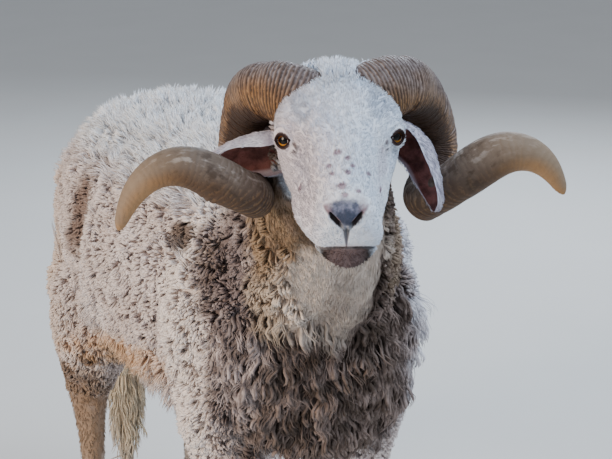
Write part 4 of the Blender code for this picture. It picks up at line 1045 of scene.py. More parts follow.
def tuft_paths(roots, length, stand, steps, clump, pull, wave, yaw, late):
    """Middle lines of tufts, P(i, k) at t = (k/steps)^late. Each leaves the skin at one angle and bends to
    another over its length, sways as sin(2 pi f t) across and cos along, and is drawn towards its clump's
    line as t^1.2."""
    count = len(roots)
    centres = roots.some(max(3, int(roots.area / clump**2)))
    own = nearest(roots.place, centres.place)
    group = chance.random((len(centres), 6))[own]
    single = chance.random((count, 6))
    size = length[0] + (length[1] - length[0]) * (0.65 * group[:, 0] + 0.35 * single[:, 0])
    size = size * roots.size
    heading = (group[:, 1] - 0.5) * 2 * yaw + (single[:, 1] - 0.5) * yaw * 0.7
    side = np.cross(roots.out, roots.lie)
    lie = np.cos(heading)[:, None] * roots.lie + np.sin(heading)[:, None] * side
    side = np.cross(roots.out, lie)
    t = np.linspace(0, 1, steps + 1) ** late
    middle, share = (t[1:] + t[:-1]) / 2, np.diff(t)
    lift = (single[:, 2] - 0.5) * 0.35 * stand[0] + (group[:, 2] - 0.5) * 0.3 * stand[0]
    angle = stand[0] + (stand[1] - stand[0]) * middle[None, :] ** 1.3 + lift[:, None]
    forward = (np.cos(angle) * size[:, None] * share).cumsum(1)
    upward = (np.sin(angle) * size[:, None] * share).cumsum(1)
    forward = np.concatenate([np.zeros((count, 1)), forward], 1)
    upward = np.concatenate([np.zeros((count, 1)), upward], 1) - 0.06 * size[:, None]
    amount, often = wave
    beat = 2 * math.pi * (often * t[None, :] * (0.8 + 0.4 * group[:, 3:4])
                          + group[:, 4:5] + 0.08 * single[:, 4:5])
    grow = np.minimum(1, t * 2)[None, :] * amount * (0.6 + 0.8 * group[:, 5:6])
    sway, bob = np.sin(beat) * grow, 0.6 * np.cos(beat) * grow
    path = (roots.place[:, None] + forward[..., None] * lie[:, None] + (upward + bob)[..., None]
            * roots.out[:, None] + sway[..., None] * side[:, None])
    pulled = (pull * t**1.2)[None, :, None] * (centres.place[own] - roots.place)[:, None]
    return path + pulled, group[:, 0], t


def make_tufts(name, roots, length, stand, width, steps, clump, pull, wave=(0.0, 1.0), yaw=0.3, flat=0.6,
               shape=(0.7, 1.0, 0.62), late=1.0):
    """One joined mesh of tapered three-sided tufts along their paths, each closed at root and tip."""
    path, group, t = tuft_paths(roots, length, stand, steps, clump, pull, wave, yaw, late)
    count = len(roots)
    tangent = unit(np.gradient(path, axis=1))[:, :-1]
    across = unit(np.cross(tangent, roots.out[:, None]) + 1e-6)
    over = np.cross(across, tangent)
    girth = np.interp(t[:-1], [0, 0.3, 0.8], shape)
    thick = width / 2 * girth[None, :] * (0.75 + 0.5 * chance.random((count, 1)))
    corner = np.array([math.pi / 2, math.pi * 7 / 6, math.pi * 11 / 6])
    wide, high = np.cos(corner)[None, None, :, None], np.sin(corner)[None, None, :, None]
    ring = (path[:, :-1, None]
            + thick[..., None, None] * (wide * across[:, :, None] + flat * high * over[:, :, None]))
    each = steps * 3 + 1
    points = np.concatenate([ring.reshape(count, steps * 3, 3), path[:, -1:]], 1).reshape(-1, 3)
    quads, tris = [], [(0, 2, 1)]
    for j in range(3):
        k = (j + 1) % 3
        quads += [(i * 3 + j, i * 3 + k, i * 3 + 3 + k, i * 3 + 3 + j) for i in range(steps - 1)]
        tris.append((steps * 3 - 3 + j, steps * 3 - 3 + k, steps * 3))
    starts = (np.arange(count) * each)[:, None, None]
    quads = (np.array(quads)[None] + starts).reshape(-1, 4)
    tris = (np.array(tris)[None] + starts).reshape(-1, 3)
    obj = mesh_object(name, points, quads, tris)
    reach = np.tile(np.concatenate([np.repeat(t[:-1], 3), [1.0]]), count)
    facts = np.stack([reach, np.repeat(chance.random(count), each), np.repeat(group, each)], 1)
    attribute(obj, "strand", facts)
    patch = np.stack([np.tile([0, 0.5, 1.0], steps + 1)[:each], reach[:each]], 1) * UNWRAP_PATCH
    spots = (np.repeat(unwrap(roots.place, roots.part), each, axis=0) + np.tile(patch, (count, 1)))
    corners = np.empty(len(obj.data.loops), np.int32)
    obj.data.loops.foreach_get("vertex_index", corners)
    layer = obj.data.uv_layers.new(name="OFBake")
    layer.data.foreach_set("uv", spots[corners].astype(np.float32).ravel())
    return obj


def grow(name, region, finish, roots):
    """Makes tufts on some of the roots, in as many pieces as keep each under the limit of triangles."""
    per_metre, *plan, more = COATS[region]
    chosen = roots.some(int(per_metre * roots.area))
    chosen = chosen.only(np.argsort(chosen.place[:, 1]))
    each = 6 * (plan[3] - 1) + 4
    parts = math.ceil(len(chosen) * each / MOST_TRIANGLES)
    for number, share in enumerate(np.array_split(np.arange(len(chosen)), parts)):
        piece_name = f"{name}_{number + 1}" if parts > 1 else name
        piece = make_tufts(piece_name, chosen.only(share), *plan, **more)
        dress(piece, finish, "face" if region in ("poll", "face", "ear") else "fleece")


def make_coat(skin, ears):
    """The whole coat, region by region, its tufts shorter towards bare skin and longer towards the crown."""
    roots = sample_skin(skin, SAMPLES)
    x, y, z = (roots.place + MIDDLE).T
    _, oy, oz = roots.out.T
    head = in_head(roots.place)
    across, along, up = head.T
    trunk, neck, on_head, tail = (roots.part == code for code in (ON_TRUNK, ON_NECK, ON_HEAD, ON_TAIL))
    legs = (roots.part >= ON_FORELEG) & (roots.part <= ON_HINDLEG + 1)
    edge = 0.010 * np.sin(z * 40) + 0.006 * np.sin(x * 90 + z * 21)
    front_line = -0.298 + 0.62 * np.clip(z - 0.64, 0, 0.12)
    breast = (trunk | neck) & (y + edge < front_line) & (oy < 0.15)
    ragged = 0.008 * lumps(roots.place, 0.03, 5)
    beside = np.abs(x + 0.012 - NECK_LEAN * (z - 0.65) + ragged)
    throat = (neck | trunk) & (oz < 0.25) & (y < -0.31) & (z + ragged > 0.600 + 0.9 * beside)
    throat = throat & (beside < 0.062 + 0.10 * (z - 0.65))
    curls = breast & ~throat & (z + 2 * ragged > 0.640)
    breast = breast & ~throat & ~curls
    wool = (trunk | neck) & ~breast & ~throat & ~curls
    back = wool & (oz + 0.06 * np.sin(y * 30) > 0.52)
    belly = wool & (oz < -0.45)
    side = wool & ~back & ~belly
    upper_leg = legs & (z > 0.30)
    lower_leg = legs & ~upper_leg & (z > HOOF_TOP + 0.004)
    bare = np.zeros(len(roots), bool)
    for s in (1, -1):
        middle, ahead, _, _ = eye_axes(s, EYE_TURN)
        away = head * (1, -1, 1) - middle
        bare |= (np.linalg.norm(away, axis=1) < BARE_ROUND_EYE) & (away @ ahead > BARE_AHEAD_OF_EYE)
    wide = np.abs(across - NOSE_MIDDLE)
    bare |= (along > 0.136) & (wide < 0.025) & (up > NOSTRIL_LINE[0] + NOSTRIL_LINE[1] * wide - 0.003)
    bare |= (along > 0.148) & (wide < 0.0025) & (up > MOUTH_LEVEL)
    bare |= (along > MOUTH_CORNER) & (np.abs(up - mouth_level(across, along)) < 0.0025)
    poll = on_head & (along < -0.030) & (up > 0.030) & (np.abs(across - 0.004) < 0.020)
    jaw = on_head & (along < -0.050) & (up < 0.0)
    curls = curls | jaw
    nape = on_head & ~poll & ~jaw & (along < -0.072)
    face = on_head & ~poll & ~nape & ~jaw & ~bare
    crown = smooth_step(-along, -0.035, 0.045) * smooth_step(up, 0.0, 0.035)
    roots.size = np.where(face, (1 + 0.9 * crown) * (1 - 0.35 * smooth_step(along, 0.09, 0.13)), 1.0)
    roots.size = np.where(upper_leg, 1 - 0.45 * smooth_step(-z, -0.42, -0.30), roots.size)
    roots.size = np.where(curls | throat, 1 - 0.3 * smooth_step(z, 0.74, 0.80), roots.size)
    roots.size = np.where(breast & (x < 0), 0.55 + 0.45 * smooth_step(front_line - y - edge, 0.0, 0.05),
                          roots.size)
    roots.size = np.where(poll, 0.45 + 0.55 * smooth_step(-along, 0.030, 0.055), roots.size)
    places = {"back": back, "side": side, "belly": belly, "breast": breast, "strands": breast,
              "curls": curls, "throat": throat, "legs": upper_leg, "shanks": lower_leg, "tail": tail,
              "poll": poll, "nape": nape, "face": face}
    wool_coat, hair = coat_finish("wool"), coat_finish("face_hair", 0.88)
    for word, where in places.items():
        finish = hair if word in ("poll", "face", "throat") else wool_coat
        grow("coat_" + word, word, finish, roots.only(where))
    ear_hair = ear_finish(hair=True)
    for side_word, code, ear in ears:
        leaf = sample_skin(ear, EAR_SAMPLES, code)
        inner = np.empty(len(ear.data.vertices), np.float32)
        ear.data.attributes["inner"].data.foreach_get("value", inner)
        outer = inner[nearest(leaf.place, vertices_of(ear))] < 0.3
        grow("coat_ear_" + side_word, "ear", ear_hair, leaf.only(outer))


# Camera, light and floor.


def stand(name, data, place, way):
    """A camera or a light at a place, looking along a way."""
    obj = bpy.data.objects.new(name, data)
    bpy.context.scene.collection.objects.link(obj)
    obj.location = place
    obj.rotation_mode = "QUATERNION"
    obj.rotation_quaternion = way.to_track_quat("-Z", "Y")
    return obj


def make_camera():
    """The camera stands at the photograph's angle and takes in what it does."""
    data = bpy.data.cameras.new("camera")
    data.sensor_width = 36.0
    data.lens = CAMERA_LENS
    data.clip_end = 100.0
    azimuth, elevation = (math.radians(angle) for angle in CAMERA_ANGLES)
    back = Vector((math.sin(azimuth) * math.cos(elevation), -math.cos(azimuth) * math.cos(elevation),
                   math.sin(elevation)))
    place = Vector(HEAD_ORIGIN) - Vector(MIDDLE) + Vector(CAMERA_FROM_HEAD)
    bpy.context.scene.camera = stand("camera", data, place, -back)


def make_light(name, place, aim, size, power, colour):
    """A round soft light at a place, aimed at another."""
    data = bpy.data.lights.new(name, "AREA")
    data.shape = "DISK"
    data.size = size
    data.energy = power
    data.color = colour
    stand(name, data, place, Vector(aim) - Vector(place))


def make_studio():
    """Soft light, warm from the left and cool from above and the right, over a pale floor."""
    make_light("warm_side", (-3.4, -0.6, 1.5), (0, -0.1, 0.6), 1.6, 115, (1.0, 0.80, 0.60))
    make_light("cool_top", (1.2, -1.6, 3.6), (0, -0.2, 0.6), 2.6, 115, (0.80, 0.90, 1.0))
    make_light("cool_back", (2.2, 2.6, 2.6), (0, 0, 0.7), 2.2, 120, (0.78, 0.88, 1.0))
    world = bpy.data.worlds.new("studio")
    world.use_nodes = True
    world.node_tree.nodes["Background"].inputs["Color"].default_value = (0.80, 0.86, 0.95, 1)
    world.node_tree.nodes["Background"].inputs["Strength"].default_value = 0.50
    bpy.context.scene.world = world
    corners = np.array([(-1, -1, 0), (1, -1, 0), (1, 1, 0), (-1, 1, 0)], float) * FLOOR_HALF
    floor = mesh_object("floor", corners, np.array([[0, 1, 2, 3]]))
    finish = Finish("floor_finish", 0.9)
    finish.done(finish.mix(finish.noise(3.0), (0.62, 0.62, 0.61), (0.66, 0.66, 0.65)))
    floor.data.materials.append(finish.material)


# Materials.


class Finish:
    """A procedural finish under way. Each method adds its nodes and gives back the socket that comes out."""

    def __init__(self, name, roughness, **sockets):
        self.material = bpy.data.materials.new(name)
        self.material.use_nodes = True
        self.tree = self.material.node_tree
        self.shader = self.tree.nodes["Principled BSDF"]
        self.shader.inputs["Roughness"].default_value = roughness
        for key, value in sockets.items():
            self.shader.inputs[key.replace("_", " ")].default_value = value
        self.place = self.add("TexCoord").outputs["Object"]
        self.wanders = {}

    def add(self, kind, links=(), **settings):
        made = self.tree.nodes.new("ShaderNode" + kind)
        for key, value in settings.items():
            setattr(made, key, value)
        for key, value in dict(links).items():
            if isinstance(value, bpy.types.NodeSocket):
                self.tree.links.new(value, made.inputs[key])
            else:
                made.inputs[key].default_value = value
        return made

    def math(self, operation, first, second=0.0, third=0.0):
        return self.add("Math", {0: first, 1: second, 2: third}, operation=operation).outputs[0]

    def times(self, first, *others):
        for other in others:
            first = self.math("MULTIPLY", first, other)
        return first

    def line(self, value, slope, start):
        """slope value + start."""
        return self.math("MULTIPLY_ADD", value, slope, start)

    def ragged(self, value, scale, amount):
        """A value made uneven by noise of a scale and an amount."""
        return self.line(self.wander(scale), amount, value)

    def within(self, value, outer, inner):
        """1 where a value is nearer to 0 than inner, and 0 where it is farther than outer."""
        return self.step(self.math("ABSOLUTE", value), outer, inner)

    def length(self, place):
        return self.add("VectorMath", {0: place}, operation="LENGTH").outputs["Value"]

    def dot(self, place, way):
        return self.add("VectorMath", {0: place, 1: way}, operation="DOT_PRODUCT").outputs["Value"]

    def scaled(self, place, sizes):
        return self.add("VectorMath", {0: place, 1: sizes}, operation="MULTIPLY").outputs[0]

    def noise(self, scale, detail=2.0, place=None):
        links = {"Vector": place or self.place, "Scale": scale, "Detail": detail, "Roughness": 0.55}
        return self.add("TexNoise", links).outputs["Fac"]

    def wander(self, scale):
        """Noise from about -1 to 1, made once for each scale."""
        if scale not in self.wanders:
            self.wanders[scale] = self.line(self.noise(scale, 3.0), 3.2, -1.6)
        return self.wanders[scale]

    def patches(self, scale, start, end, low=0.0, high=1.0):
        """Soft patches where the noise of a scale passes from start to end."""
        return self.step(self.wander(scale), start, end, low, high)

    def moved(self, location=(0, 0, 0), turn=(0, 0, 0), scale=(1, 1, 1), place=None):
        links = {"Vector": place or self.place, "Location": location, "Rotation": turn, "Scale": scale}
        return self.add("Mapping", links, vector_type="TEXTURE").outputs[0]

    def in_head(self):
        """Places in the head's across, back and up."""
        matrix = head_matrix()
        return self.moved(matrix.translation[:], matrix.to_euler()[:])

    def alike(self, place):
        """A place with both its sides alike: |x|, y, z."""
        x, y, z = self.parts(place)
        return self.add("CombineXYZ", {0: self.math("ABSOLUTE", x), 1: y, 2: z}).outputs[0]

    def step(self, value, start, end, low=0.0, high=1.0):
        """From low at start to high at end, along a smooth step."""
        links = {"Value": value, "From Min": start, "From Max": end, "To Min": low, "To Max": high}
        return self.add("MapRange", links, interpolation_type="SMOOTHSTEP").outputs[0]

    def mix(self, share, first, second, way="MIX"):
        def paint(colour):
            return colour if isinstance(colour, bpy.types.NodeSocket) else (*colour, 1)
        links = {0: share, 6: paint(first), 7: paint(second)}
        return self.add("Mix", links, data_type="RGBA", blend_type=way).outputs[2]

    def shaded(self, colour, tone):
        """A colour times a grey."""
        grey = self.add("CombineColor", {0: tone, 1: tone, 2: tone}).outputs[0]
        return self.mix(1.0, colour, grey, "MULTIPLY")

    def attribute(self, name, output="Fac"):
        return self.add("Attribute", attribute_name=name).outputs[output]

    def parts(self, vector):
        return self.add("SeparateXYZ", {0: vector}).outputs

    def zone(self, place, middle, half, soft=0.5, ragged=0.3, scale=30.0, most=1.0, turn=(0, 0, 0)):
        """As much as most inside an ellipsoid and 0 outside, with a soft and ragged edge."""
        spot = self.moved(middle, turn, half, place)
        length = self.length(spot)
        if ragged:
            length = self.ragged(length, scale, ragged)
        return self.step(length, 1.0 + soft / 2, 1.0 - soft / 2, 0.0, most)

    def paint(self, colour, spots, place):
        """Lays zones over a colour, one after another: their colour, then what zone() takes."""
        for paint, *zone in spots:
            colour = self.mix(self.zone(place, *zone), colour, paint)
        return colour

    def bump(self, height, depth, strength=1.0):
        made = self.add("Bump", {"Height": height, "Distance": depth, "Strength": strength})
        self.tree.links.new(made.outputs[0], self.shader.inputs["Normal"])

    def done(self, colour):
        self.tree.links.new(colour, self.shader.inputs["Base Color"])
        return self.material


def body_colour(f):
    """The coat's markings: beige sides, white back with painted bluish shade, dark curly breast with painted
    shade under the neck, ochre flanks, dirt, cream tail, a painted highlight on the shoulders' front and
    painted shade in hollows of the flank and shoulder.
    """
    trunk = f.moved(tuple(-np.array(MIDDLE)))
    both = f.alike(trunk)
    x, y, z = f.parts(both)
    colour = f.mix(f.patches(7.0, -0.6, 0.6), (0.74, 0.655, 0.64), (0.86, 0.79, 0.79))
    colour = f.mix(f.patches(16.0, 0.1, 0.9, 0.0, 0.40), colour, (0.62, 0.50, 0.46))
    colour = f.mix(f.patches(95.0, 0.42, 0.75, 0.0, 0.60), colour, (0.32, 0.245, 0.22))
    height = f.ragged(z, 9.0, 0.016)
    colour = f.mix(f.step(height, 0.30, 0.22), colour, (0.66, 0.59, 0.53))
    colour = f.mix(f.step(height, 0.735, 0.790), colour, (0.90, 0.92, 0.96))
    # Bluish patches on the white top of the back: painted bluish shade.
    colour = f.mix(f.times(f.step(height, 0.77, 0.80), f.patches(28.0, 0.35, 0.95)), colour,
                   (0.66, 0.70, 0.79))
    # Marks on both sides, the second of them a painted highlight on the shoulder's front.
    colour = f.paint(colour, BODY_MARKS, both)
    rise = f.math("MAXIMUM", f.math("SUBTRACT", z, 0.60), 0.0)
    edge = f.line(rise, -0.45, y)
    edge = f.ragged(f.ragged(edge, 9.0, 0.012), 34.0, 0.010)
    # The breast's dark brown is partly its own colour and partly painted shade under the neck, darkest in its
    # middle and paler to the sides.
    deep = f.mix(f.patches(44.0, -0.5, 0.6), (0.100, 0.074, 0.062), (0.30, 0.235, 0.215))
    pale = f.mix(f.patches(44.0, -0.5, 0.6), (0.20, 0.160, 0.155), (0.60, 0.52, 0.52))
    deep = f.mix(f.step(f.ragged(x, 12.0, 0.03), 0.080, 0.145), deep, pale)
    low = f.times(f.step(edge, -0.284, -0.304), f.step(z, 0.28, 0.34))
    over = f.line(y, 0.64, f.line(z, 0.76, 0.64 * 0.235 - 0.76 * 0.65))
    over = f.ragged(over, 9.0, 0.012)
    colour = f.mix(f.times(low, f.step(over, 0.088, 0.050)), colour, deep)
    # Marks on one side and on the neck, the first three of them painted shade in hollows.
    return f.paint(colour, SIDE_MARKS, trunk)


def on_head(f):
    """1 on the head's side of the cut behind the jaws, with a ragged edge."""
    way = unit(np.array(HEAD_CUT_WAY))
    point = np.array(level_matrix() @ Vector((0, HEAD_CUT_BACK, -HEAD_CUT_DOWN)))
    away = f.dot(f.place, tuple(way))
    away = f.ragged(away, 60.0, 0.006)
    reach = float(way @ point)
    return f.step(away, reach + 0.010, reach - 0.010)


def face_colour(f, body):
    """The face's white with a cool tint of painted sky light, painted shade in its hollows, its freckles,
    dark eye corners, the nose with painted shade in its nostrils, painted shade in the lip cleft and along
    the mouth line, and the dark chin, darker downwards with painted shade under the muzzle, over the body's
    colour.
    """
    head = f.in_head()
    both = f.alike(head)
    x, y, z = f.parts(head)
    # The face's white with a blue tint: painted cool sky light.
    colour = f.mix(f.patches(22.0, -0.7, 0.7), (0.72, 0.81, 0.95), (0.86, 0.91, 1.0))
    colour = f.mix(f.zone(head, (-0.050, -0.040, -0.010), (0.045, 0.120, 0.060), 1.0, 0.3, 25.0, 0.75),
                   colour, (0.82, 0.72, 0.77))
    colour = f.mix(f.patches(140.0, 0.30, 0.85, 0.0, 0.30), colour, (0.54, 0.54, 0.64))
    # Painted shade in the face's hollows, then dark tear marks by the eyes.
    colour = f.paint(colour, FACE_MARKS, both)
    spots = 0.0
    for across, back, up, size in FRECKLES:
        spot = f.zone(head, (across, back, up), (size, size * 0.8, size), 0.9, 0.45, 220.0)
        spots = f.math("MAXIMUM", spots, spot)
    colour = f.mix(f.times(spots, 0.80), colour, (0.27, 0.16, 0.21))
    eyes = f.moved((EYE_PLACE[0], -EYE_PLACE[1], EYE_PLACE[2]), place=both)
    ahead = tuple(eye_axes(1, EYE_TURN)[1])
    toward = f.dot(eyes, ahead)
    toward = f.ragged(toward, 220.0, 0.0008)
    near = f.length(eyes)
    rim = f.times(f.step(toward, 0.0134, 0.0150), f.step(near, 0.030, 0.024))
    colour = f.mix(rim, colour, (0.060, 0.034, 0.032))
    wide = f.math("ABSOLUTE", f.math("ADD", x, -NOSE_MIDDLE))
    pad = f.zone(head, (NOSE_MIDDLE, -0.1500, -0.0095), (0.0275, 0.0300, 0.0130), 0.8, 0.30, 120.0)
    line = f.math("SUBTRACT", z, f.line(wide, NOSTRIL_LINE[1], NOSTRIL_LINE[0]))
    above = f.step(line, -0.003, 0.001)
    slate = f.mix(f.patches(160.0, -0.5, 0.6), (0.055, 0.066, 0.11), (0.19, 0.20, 0.29))
    slate = f.mix(f.step(wide, 0.012, 0.022, 0.0, 0.8), slate, (0.25, 0.15, 0.17))
    colour = f.mix(f.times(pad, above), colour, slate)
    dark_pad = f.zone(head, (NOSE_MIDDLE, -0.1560, -0.0125), (0.0150, 0.0120, 0.0078), 0.9, 0.3, 160.0)
    colour = f.mix(f.times(dark_pad, 0.90), colour, (0.030, 0.042, 0.080))
    inside = f.math("SUBTRACT", wide, 0.0085)
    pink = f.times(f.within(inside, 0.0035, 0.0010), f.step(y, -0.146, -0.152))
    pink = f.times(pink, f.step(line, 0.0020, 0.0034), f.step(line, 0.0062, 0.0044))
    colour = f.mix(f.times(pink, 0.5), colour, (0.50, 0.33, 0.35))
    # The nostril slits painted near black: painted shade inside the openings.
    slit = f.times(f.within(line, 0.0040, 0.0020), f.step(wide, 0.0200, 0.0165))
    slit = f.times(slit, f.step(y, -0.134, -0.142))
    colour = f.mix(f.times(slit, f.step(wide, 0.0020, 0.0085, 0.35, 1.0)), colour, (0.018, 0.012, 0.014))
    # A dark line down the cleft between the upper lips: painted shade in the cleft.
    gap = f.line(f.math("ADD", z, 0.0225), -0.15, wide)
    split = f.times(f.step(gap, 0.0052, 0.0034), f.step(y, -0.148, -0.154))
    split = f.times(split, f.step(z, -0.0225, -0.0265), f.step(z, -0.050, -0.046))
    colour = f.mix(f.times(split, 0.85), colour,
                   f.mix(f.step(z, -0.026, -0.040), (0.016, 0.014, 0.020), (0.075, 0.055, 0.070)))
    back = f.math("MINIMUM", f.math("MAXIMUM", f.math("ADD", y, 0.158), 0.0), 0.05)
    level = f.line(f.times(wide, wide), -4.0, MOUTH_LEVEL)
    level = f.line(back, -0.25, level)
    below = f.math("SUBTRACT", z, level)
    reach = f.ragged(wide, 120.0, 0.003)
    chin = f.times(f.step(below, 0.0, -0.0025), f.step(reach, 0.0340, 0.0240))
    chin = f.times(chin, f.step(y, -0.128, -0.142))
    # The chin below the mouth line is dark and darker downwards: partly its own dark colour, partly painted
    # shade under the muzzle.
    depth = f.ragged(z, 120.0, 0.005)
    colour = f.mix(chin, colour,
                   f.mix(f.step(depth, -0.052, -0.070), (0.016, 0.009, 0.008), (0.003, 0.0015, 0.0015)))
    over = f.times(f.step(below, 0.0070, 0.0010), f.step(wide, 0.028, 0.012, 0.0, 0.45))
    colour = f.mix(f.times(over, f.step(y, -0.140, -0.150)), colour, (0.30, 0.21, 0.22))
    # The mouth line painted near black: painted shade in the gap between the lips.
    line = f.times(f.within(below, 0.0026, 0.0010), f.step(y, -0.112, -0.126))
    colour = f.mix(f.times(line, 0.85), colour, (0.035, 0.020, 0.022))
    rear = f.step(f.ragged(y, 60.0, 0.006), 0.040, 0.060)
    rear = f.times(rear, f.step(z, 0.004, -0.018))
    return f.mix(f.times(on_head(f), f.math("SUBTRACT", 1.0, rear)), body, colour)


def skin_finish():
    """The hide under the coat: as the wool's roots on the body, darkened by the same painted shade, bare and
    short haired on the face.
    """
    f = Finish("hide", 0.85)
    # The hide darkened as the wool's roots: painted shade under the coat.
    body = f.mix(1.0, body_colour(f), (0.84, 0.80, 0.78), "MULTIPLY")
    fine = f.line(f.noise(900.0, 2.0), 0.5, f.noise(330.0, 3.0))
    f.bump(fine, 0.0012)
    return f.done(face_colour(f, body))


def coat_finish(name, painted_root_shade=0.78):
    """Wool or hair: darker at its roots with painted shade deep in the coat, paler at its tips, each tuft and
    clump a little different.
    """
    f = Finish(name, 0.95, Specular_IOR_Level=0.25)
    colour = face_colour(f, body_colour(f))
    reach, single, group = f.parts(f.attribute("strand", "Vector"))
    # Painted shade at the roots, lifting towards the tips.
    tone = f.step(reach, 0.0, 0.75, painted_root_shade, 1.0)
    tone = f.times(tone, f.line(single, 0.16, 0.90))
    tone = f.times(tone, f.line(group, 0.14, 0.93))
    f.bump(f.noise(520.0, 2.0), 0.0010)
    return f.done(f.shaded(colour, tone))


def horn_finish():
    """Ringed horn of its own tan and grey, made grey-lilac above by painted sky light and tan to orange and
    darker below by painted warm light and shade; dark grooves, painted shade on the coil's inner side,
    mottled past the cheek and smooth tan at the tip."""
    f = Finish("horn_sheath", 0.60, Specular_IOR_Level=0.25)
    hollow, phase, share = f.parts(f.attribute("growth", "Vector"))
    bands = f.attribute("bands", "Vector")
    streaks = f.scaled(bands, (3.4, 3.4, 20.0))
    broken = f.line(f.noise(1.6, 3.0, streaks), 5.0, -2.5)
    smears = f.scaled(bands, (1.8, 1.8, 4.0))
    smear = f.line(f.noise(1.8, 3.0, smears), 5.0, -2.5)
    # Faces turned up get painted sky light, grey-lilac and pale, and faces turned down painted warm light and
    # shade, orange and darker, over the horn's own tan and grey.
    _, _, upward_for_painted_light = f.parts(f.add("NewGeometry").outputs["Normal"])
    high = f.ragged(upward_for_painted_light, 26.0, 0.28)
    first = f.mix(f.step(high, -0.30, 0.65), (0.215, 0.112, 0.050), (0.165, 0.132, 0.130))
    first = f.mix(f.step(smear, -0.2, 1.0, 0.0, 0.55), first, (0.120, 0.080, 0.060))
    second = f.mix(f.step(high, -0.50, 0.40), (0.058, 0.030, 0.017), (0.110, 0.084, 0.068))
    pale = f.times(f.step(smear, 0.20, 0.85), f.step(high, 0.15, 0.70, 0.0, 0.65))
    second = f.mix(pale, second, (0.40, 0.36, 0.33))
    blotch = f.step(f.line(smear, -0.7, f.wander(40.0)), 0.10, 0.85, 0.0, 0.80)
    second = f.mix(blotch, second, (0.026, 0.015, 0.011))
    tip = f.mix(f.step(high, -0.6, 0.3), (0.38, 0.215, 0.095), (0.25, 0.185, 0.130))
    place = f.ragged(share, 20.0, 0.03)
    colour = f.mix(f.step(place, 0.42, 0.56), first, second)
    colour = f.mix(f.step(place, 0.76, 0.92), colour, tip)
    fade = f.step(share, 0.46, 0.78, 1.0, 0.12)
    beat = f.math("COSINE", f.line(phase, 20 * math.pi, f.times(broken, 1.1)))
    dark = f.line(broken, 1.0, beat)
    colour = f.mix(f.times(f.step(dark, 0.0, 1.3, 0.0, 0.78), fade), colour, (0.050, 0.030, 0.023))
    crest = f.times(f.step(dark, -0.25, -1.3, 0.0, 0.55), fade)
    colour = f.mix(crest, colour, f.mix(f.step(high, -0.2, 0.5), (0.46, 0.26, 0.11), (0.34, 0.295, 0.29)))
    band = f.line(broken, 0.004, f.math("ABSOLUTE", f.math("SUBTRACT", share, 0.185)))
    colour = f.mix(f.step(band, 0.022, 0.012, 0.0, 0.16), colour, (0.44, 0.36, 0.31))
    light = f.times(f.step(hollow, -0.20, 0.10), f.step(hollow, 0.40, 0.15, 0.0, 0.14))
    colour = f.mix(light, colour, (0.30, 0.21, 0.14))
    # Near black on the side of the coil that faces the head: painted shade.
    colour = f.mix(f.step(f.line(broken, 0.12, hollow), 0.12, 0.52, 0.0, 0.90), colour,
                   (0.040, 0.021, 0.015))
    rough = f.times(f.line(broken, 0.6, beat), fade)
    f.bump(f.ragged(rough, 90.0, 0.15), 0.0012, 0.8)
    return f.done(colour)


def ear_finish(hair=False):
    """White-lilac outside and maroon inside, with paler folds."""
    f = Finish("ear_hair" if hair else "ear_skin", 0.75)
    outer = f.mix(f.patches(45.0, -0.6, 0.7), (0.52, 0.50, 0.62), (0.80, 0.82, 0.94))
    if hair:
        reach, single, _ = f.parts(f.attribute("strand", "Vector"))
        # Painted shade at the hair's roots, and a random tone for each tuft.
        tone = f.times(f.step(reach, 0.0, 0.7, 0.75, 1.0), f.line(single, 0.25, 0.85))
        return f.done(f.shaded(outer, tone))
    inner = f.mix(f.patches(60.0, -0.7, 0.6), (0.085, 0.026, 0.024), (0.30, 0.115, 0.100))
    share = f.attribute("inner")
    edge = f.times(f.step(share, 0.05, 0.4), f.step(share, 0.95, 0.55))
    colour = f.mix(f.step(share, 0.35, 0.75), outer, inner)
    colour = f.mix(f.times(edge, 0.7), colour, (0.55, 0.44, 0.50))
    f.bump(f.line(f.noise(90.0, 3.0), 2.5, f.noise(500.0, 3.0)), 0.0012)
    return f.done(colour)


def eye_finish():
    """A wet eye: a wide dark pupil, amber below it, darker brown above with the upper lid's painted shade,
    and darker brown towards the lids.
    """
    f = Finish("eye_wet", 0.08, Specular_IOR_Level=0.25)
    gaze = f.attribute("gaze", "Vector")
    _, v, t = f.parts(gaze)
    offset = f.add("VectorMath", {0: gaze, 1: (0.0, -0.0012, 0.0)}, operation="ADD").outputs[0]
    pupil = f.scaled(offset, (1 / 0.0070, 1 / 0.0044, 0.0))
    size = f.length(pupil)
    streak = f.noise(420.0, 2.0)
    # The iris darker above: painted shade of the upper lid.
    amber = f.mix(f.step(v, 0.0010, -0.0040), (0.10, 0.035, 0.010), (0.62, 0.27, 0.030))
    amber = f.mix(f.times(streak, 0.5), amber, (0.22, 0.08, 0.015))
    colour = f.mix(f.step(t, 0.50, 0.66), amber, (0.045, 0.020, 0.012))
    return f.done(f.mix(f.step(size, 1.10, 0.90), colour, (0.002, 0.001, 0.001)))


def lid_finish():
    f = Finish("lid_rim", 0.6, Specular_IOR_Level=0.1)
    return f.done(f.mix(f.noise(300.0), (0.014, 0.008, 0.007), (0.045, 0.024, 0.022)))


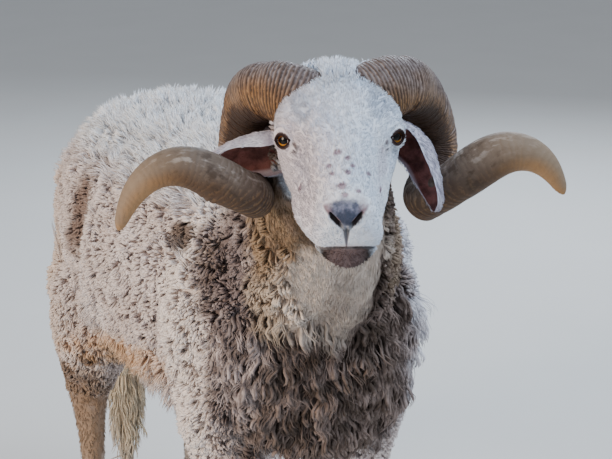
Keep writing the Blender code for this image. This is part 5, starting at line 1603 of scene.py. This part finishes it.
def scrotum_finish():
    f = Finish("scrotum_hide", 0.7)
    f.bump(f.noise(300.0, 3.0), 0.0010)
    return f.done(f.mix(f.noise(40.0), (0.10, 0.060, 0.050), (0.26, 0.165, 0.14)))


def hoof_finish():
    """Dark ringed horn, paler and scuffed towards the sole."""
    f = Finish("hoof_horn", 0.5)
    _, _, z = f.parts(f.place)
    rings = f.math("SINE", f.ragged(f.times(z, 1750.0), 60.0, 0.6))
    colour = f.mix(f.step(rings, -0.8, 0.9), (0.085, 0.068, 0.058), (0.19, 0.155, 0.13))
    scuff = f.ragged(z, 110.0, 0.006)
    colour = f.mix(f.step(scuff, 0.012, 0.002, 0.0, 0.8), colour, (0.36, 0.31, 0.26))
    f.bump(f.ragged(rings, 200.0, 0.3), 0.0004)
    return f.done(colour)


def dress(obj, finish, slot, *nodes):
    """Gives a piece its finish and the body that it rides on, and hides the nodes that it stands for; its
    slot is not used.
    """
    obj.data.materials.clear()
    obj.data.materials.append(finish)
    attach(obj, "root")
    if nodes:
        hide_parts(*nodes)


def main():
    make_camera()
    make_studio()
    skin = make_skin()
    dress(skin, skin_finish(), "fleece", "torso", "neck", "head", "tail", "leg_front_left",
          "leg_front_right", "leg_hind_left", "leg_hind_right")
    eye, lid, horn, ear, hoof = eye_finish(), lid_finish(), horn_finish(), ear_finish(), hoof_finish()
    ears = []
    for side, word in ((1, "left"), (-1, "right")):
        dress(make_eye("eyeball_" + word, side), eye, "eye", "eye_" + word)
        dress(make_lids("lids_" + word, side), lid, "skin")
        dress(make_horn("horn_sheath_" + word, side), horn, "horn", "horn_" + word)
        leaf = make_ear("ear_leaf_" + word, side)
        dress(leaf, ear, "skin", "ear_" + word)
        ears.append((word, ON_EAR_LEFT if side > 0 else ON_EAR_RIGHT, leaf))
        for table, kind in ((FORELEG, "front"), (HINDLEG, "hind")):
            for claw, at in ((1, "left"), (-1, "right")):
                name = f"{kind}_{word}_{at}_claw"
                dress(make_claw("claw_" + name, table, side, claw), hoof, "hoof", "hoof_" + name)
    dress(make_scrotum("scrotum_skin"), scrotum_finish(), "skin", "scrotum")
    make_coat(skin, ears)


main()
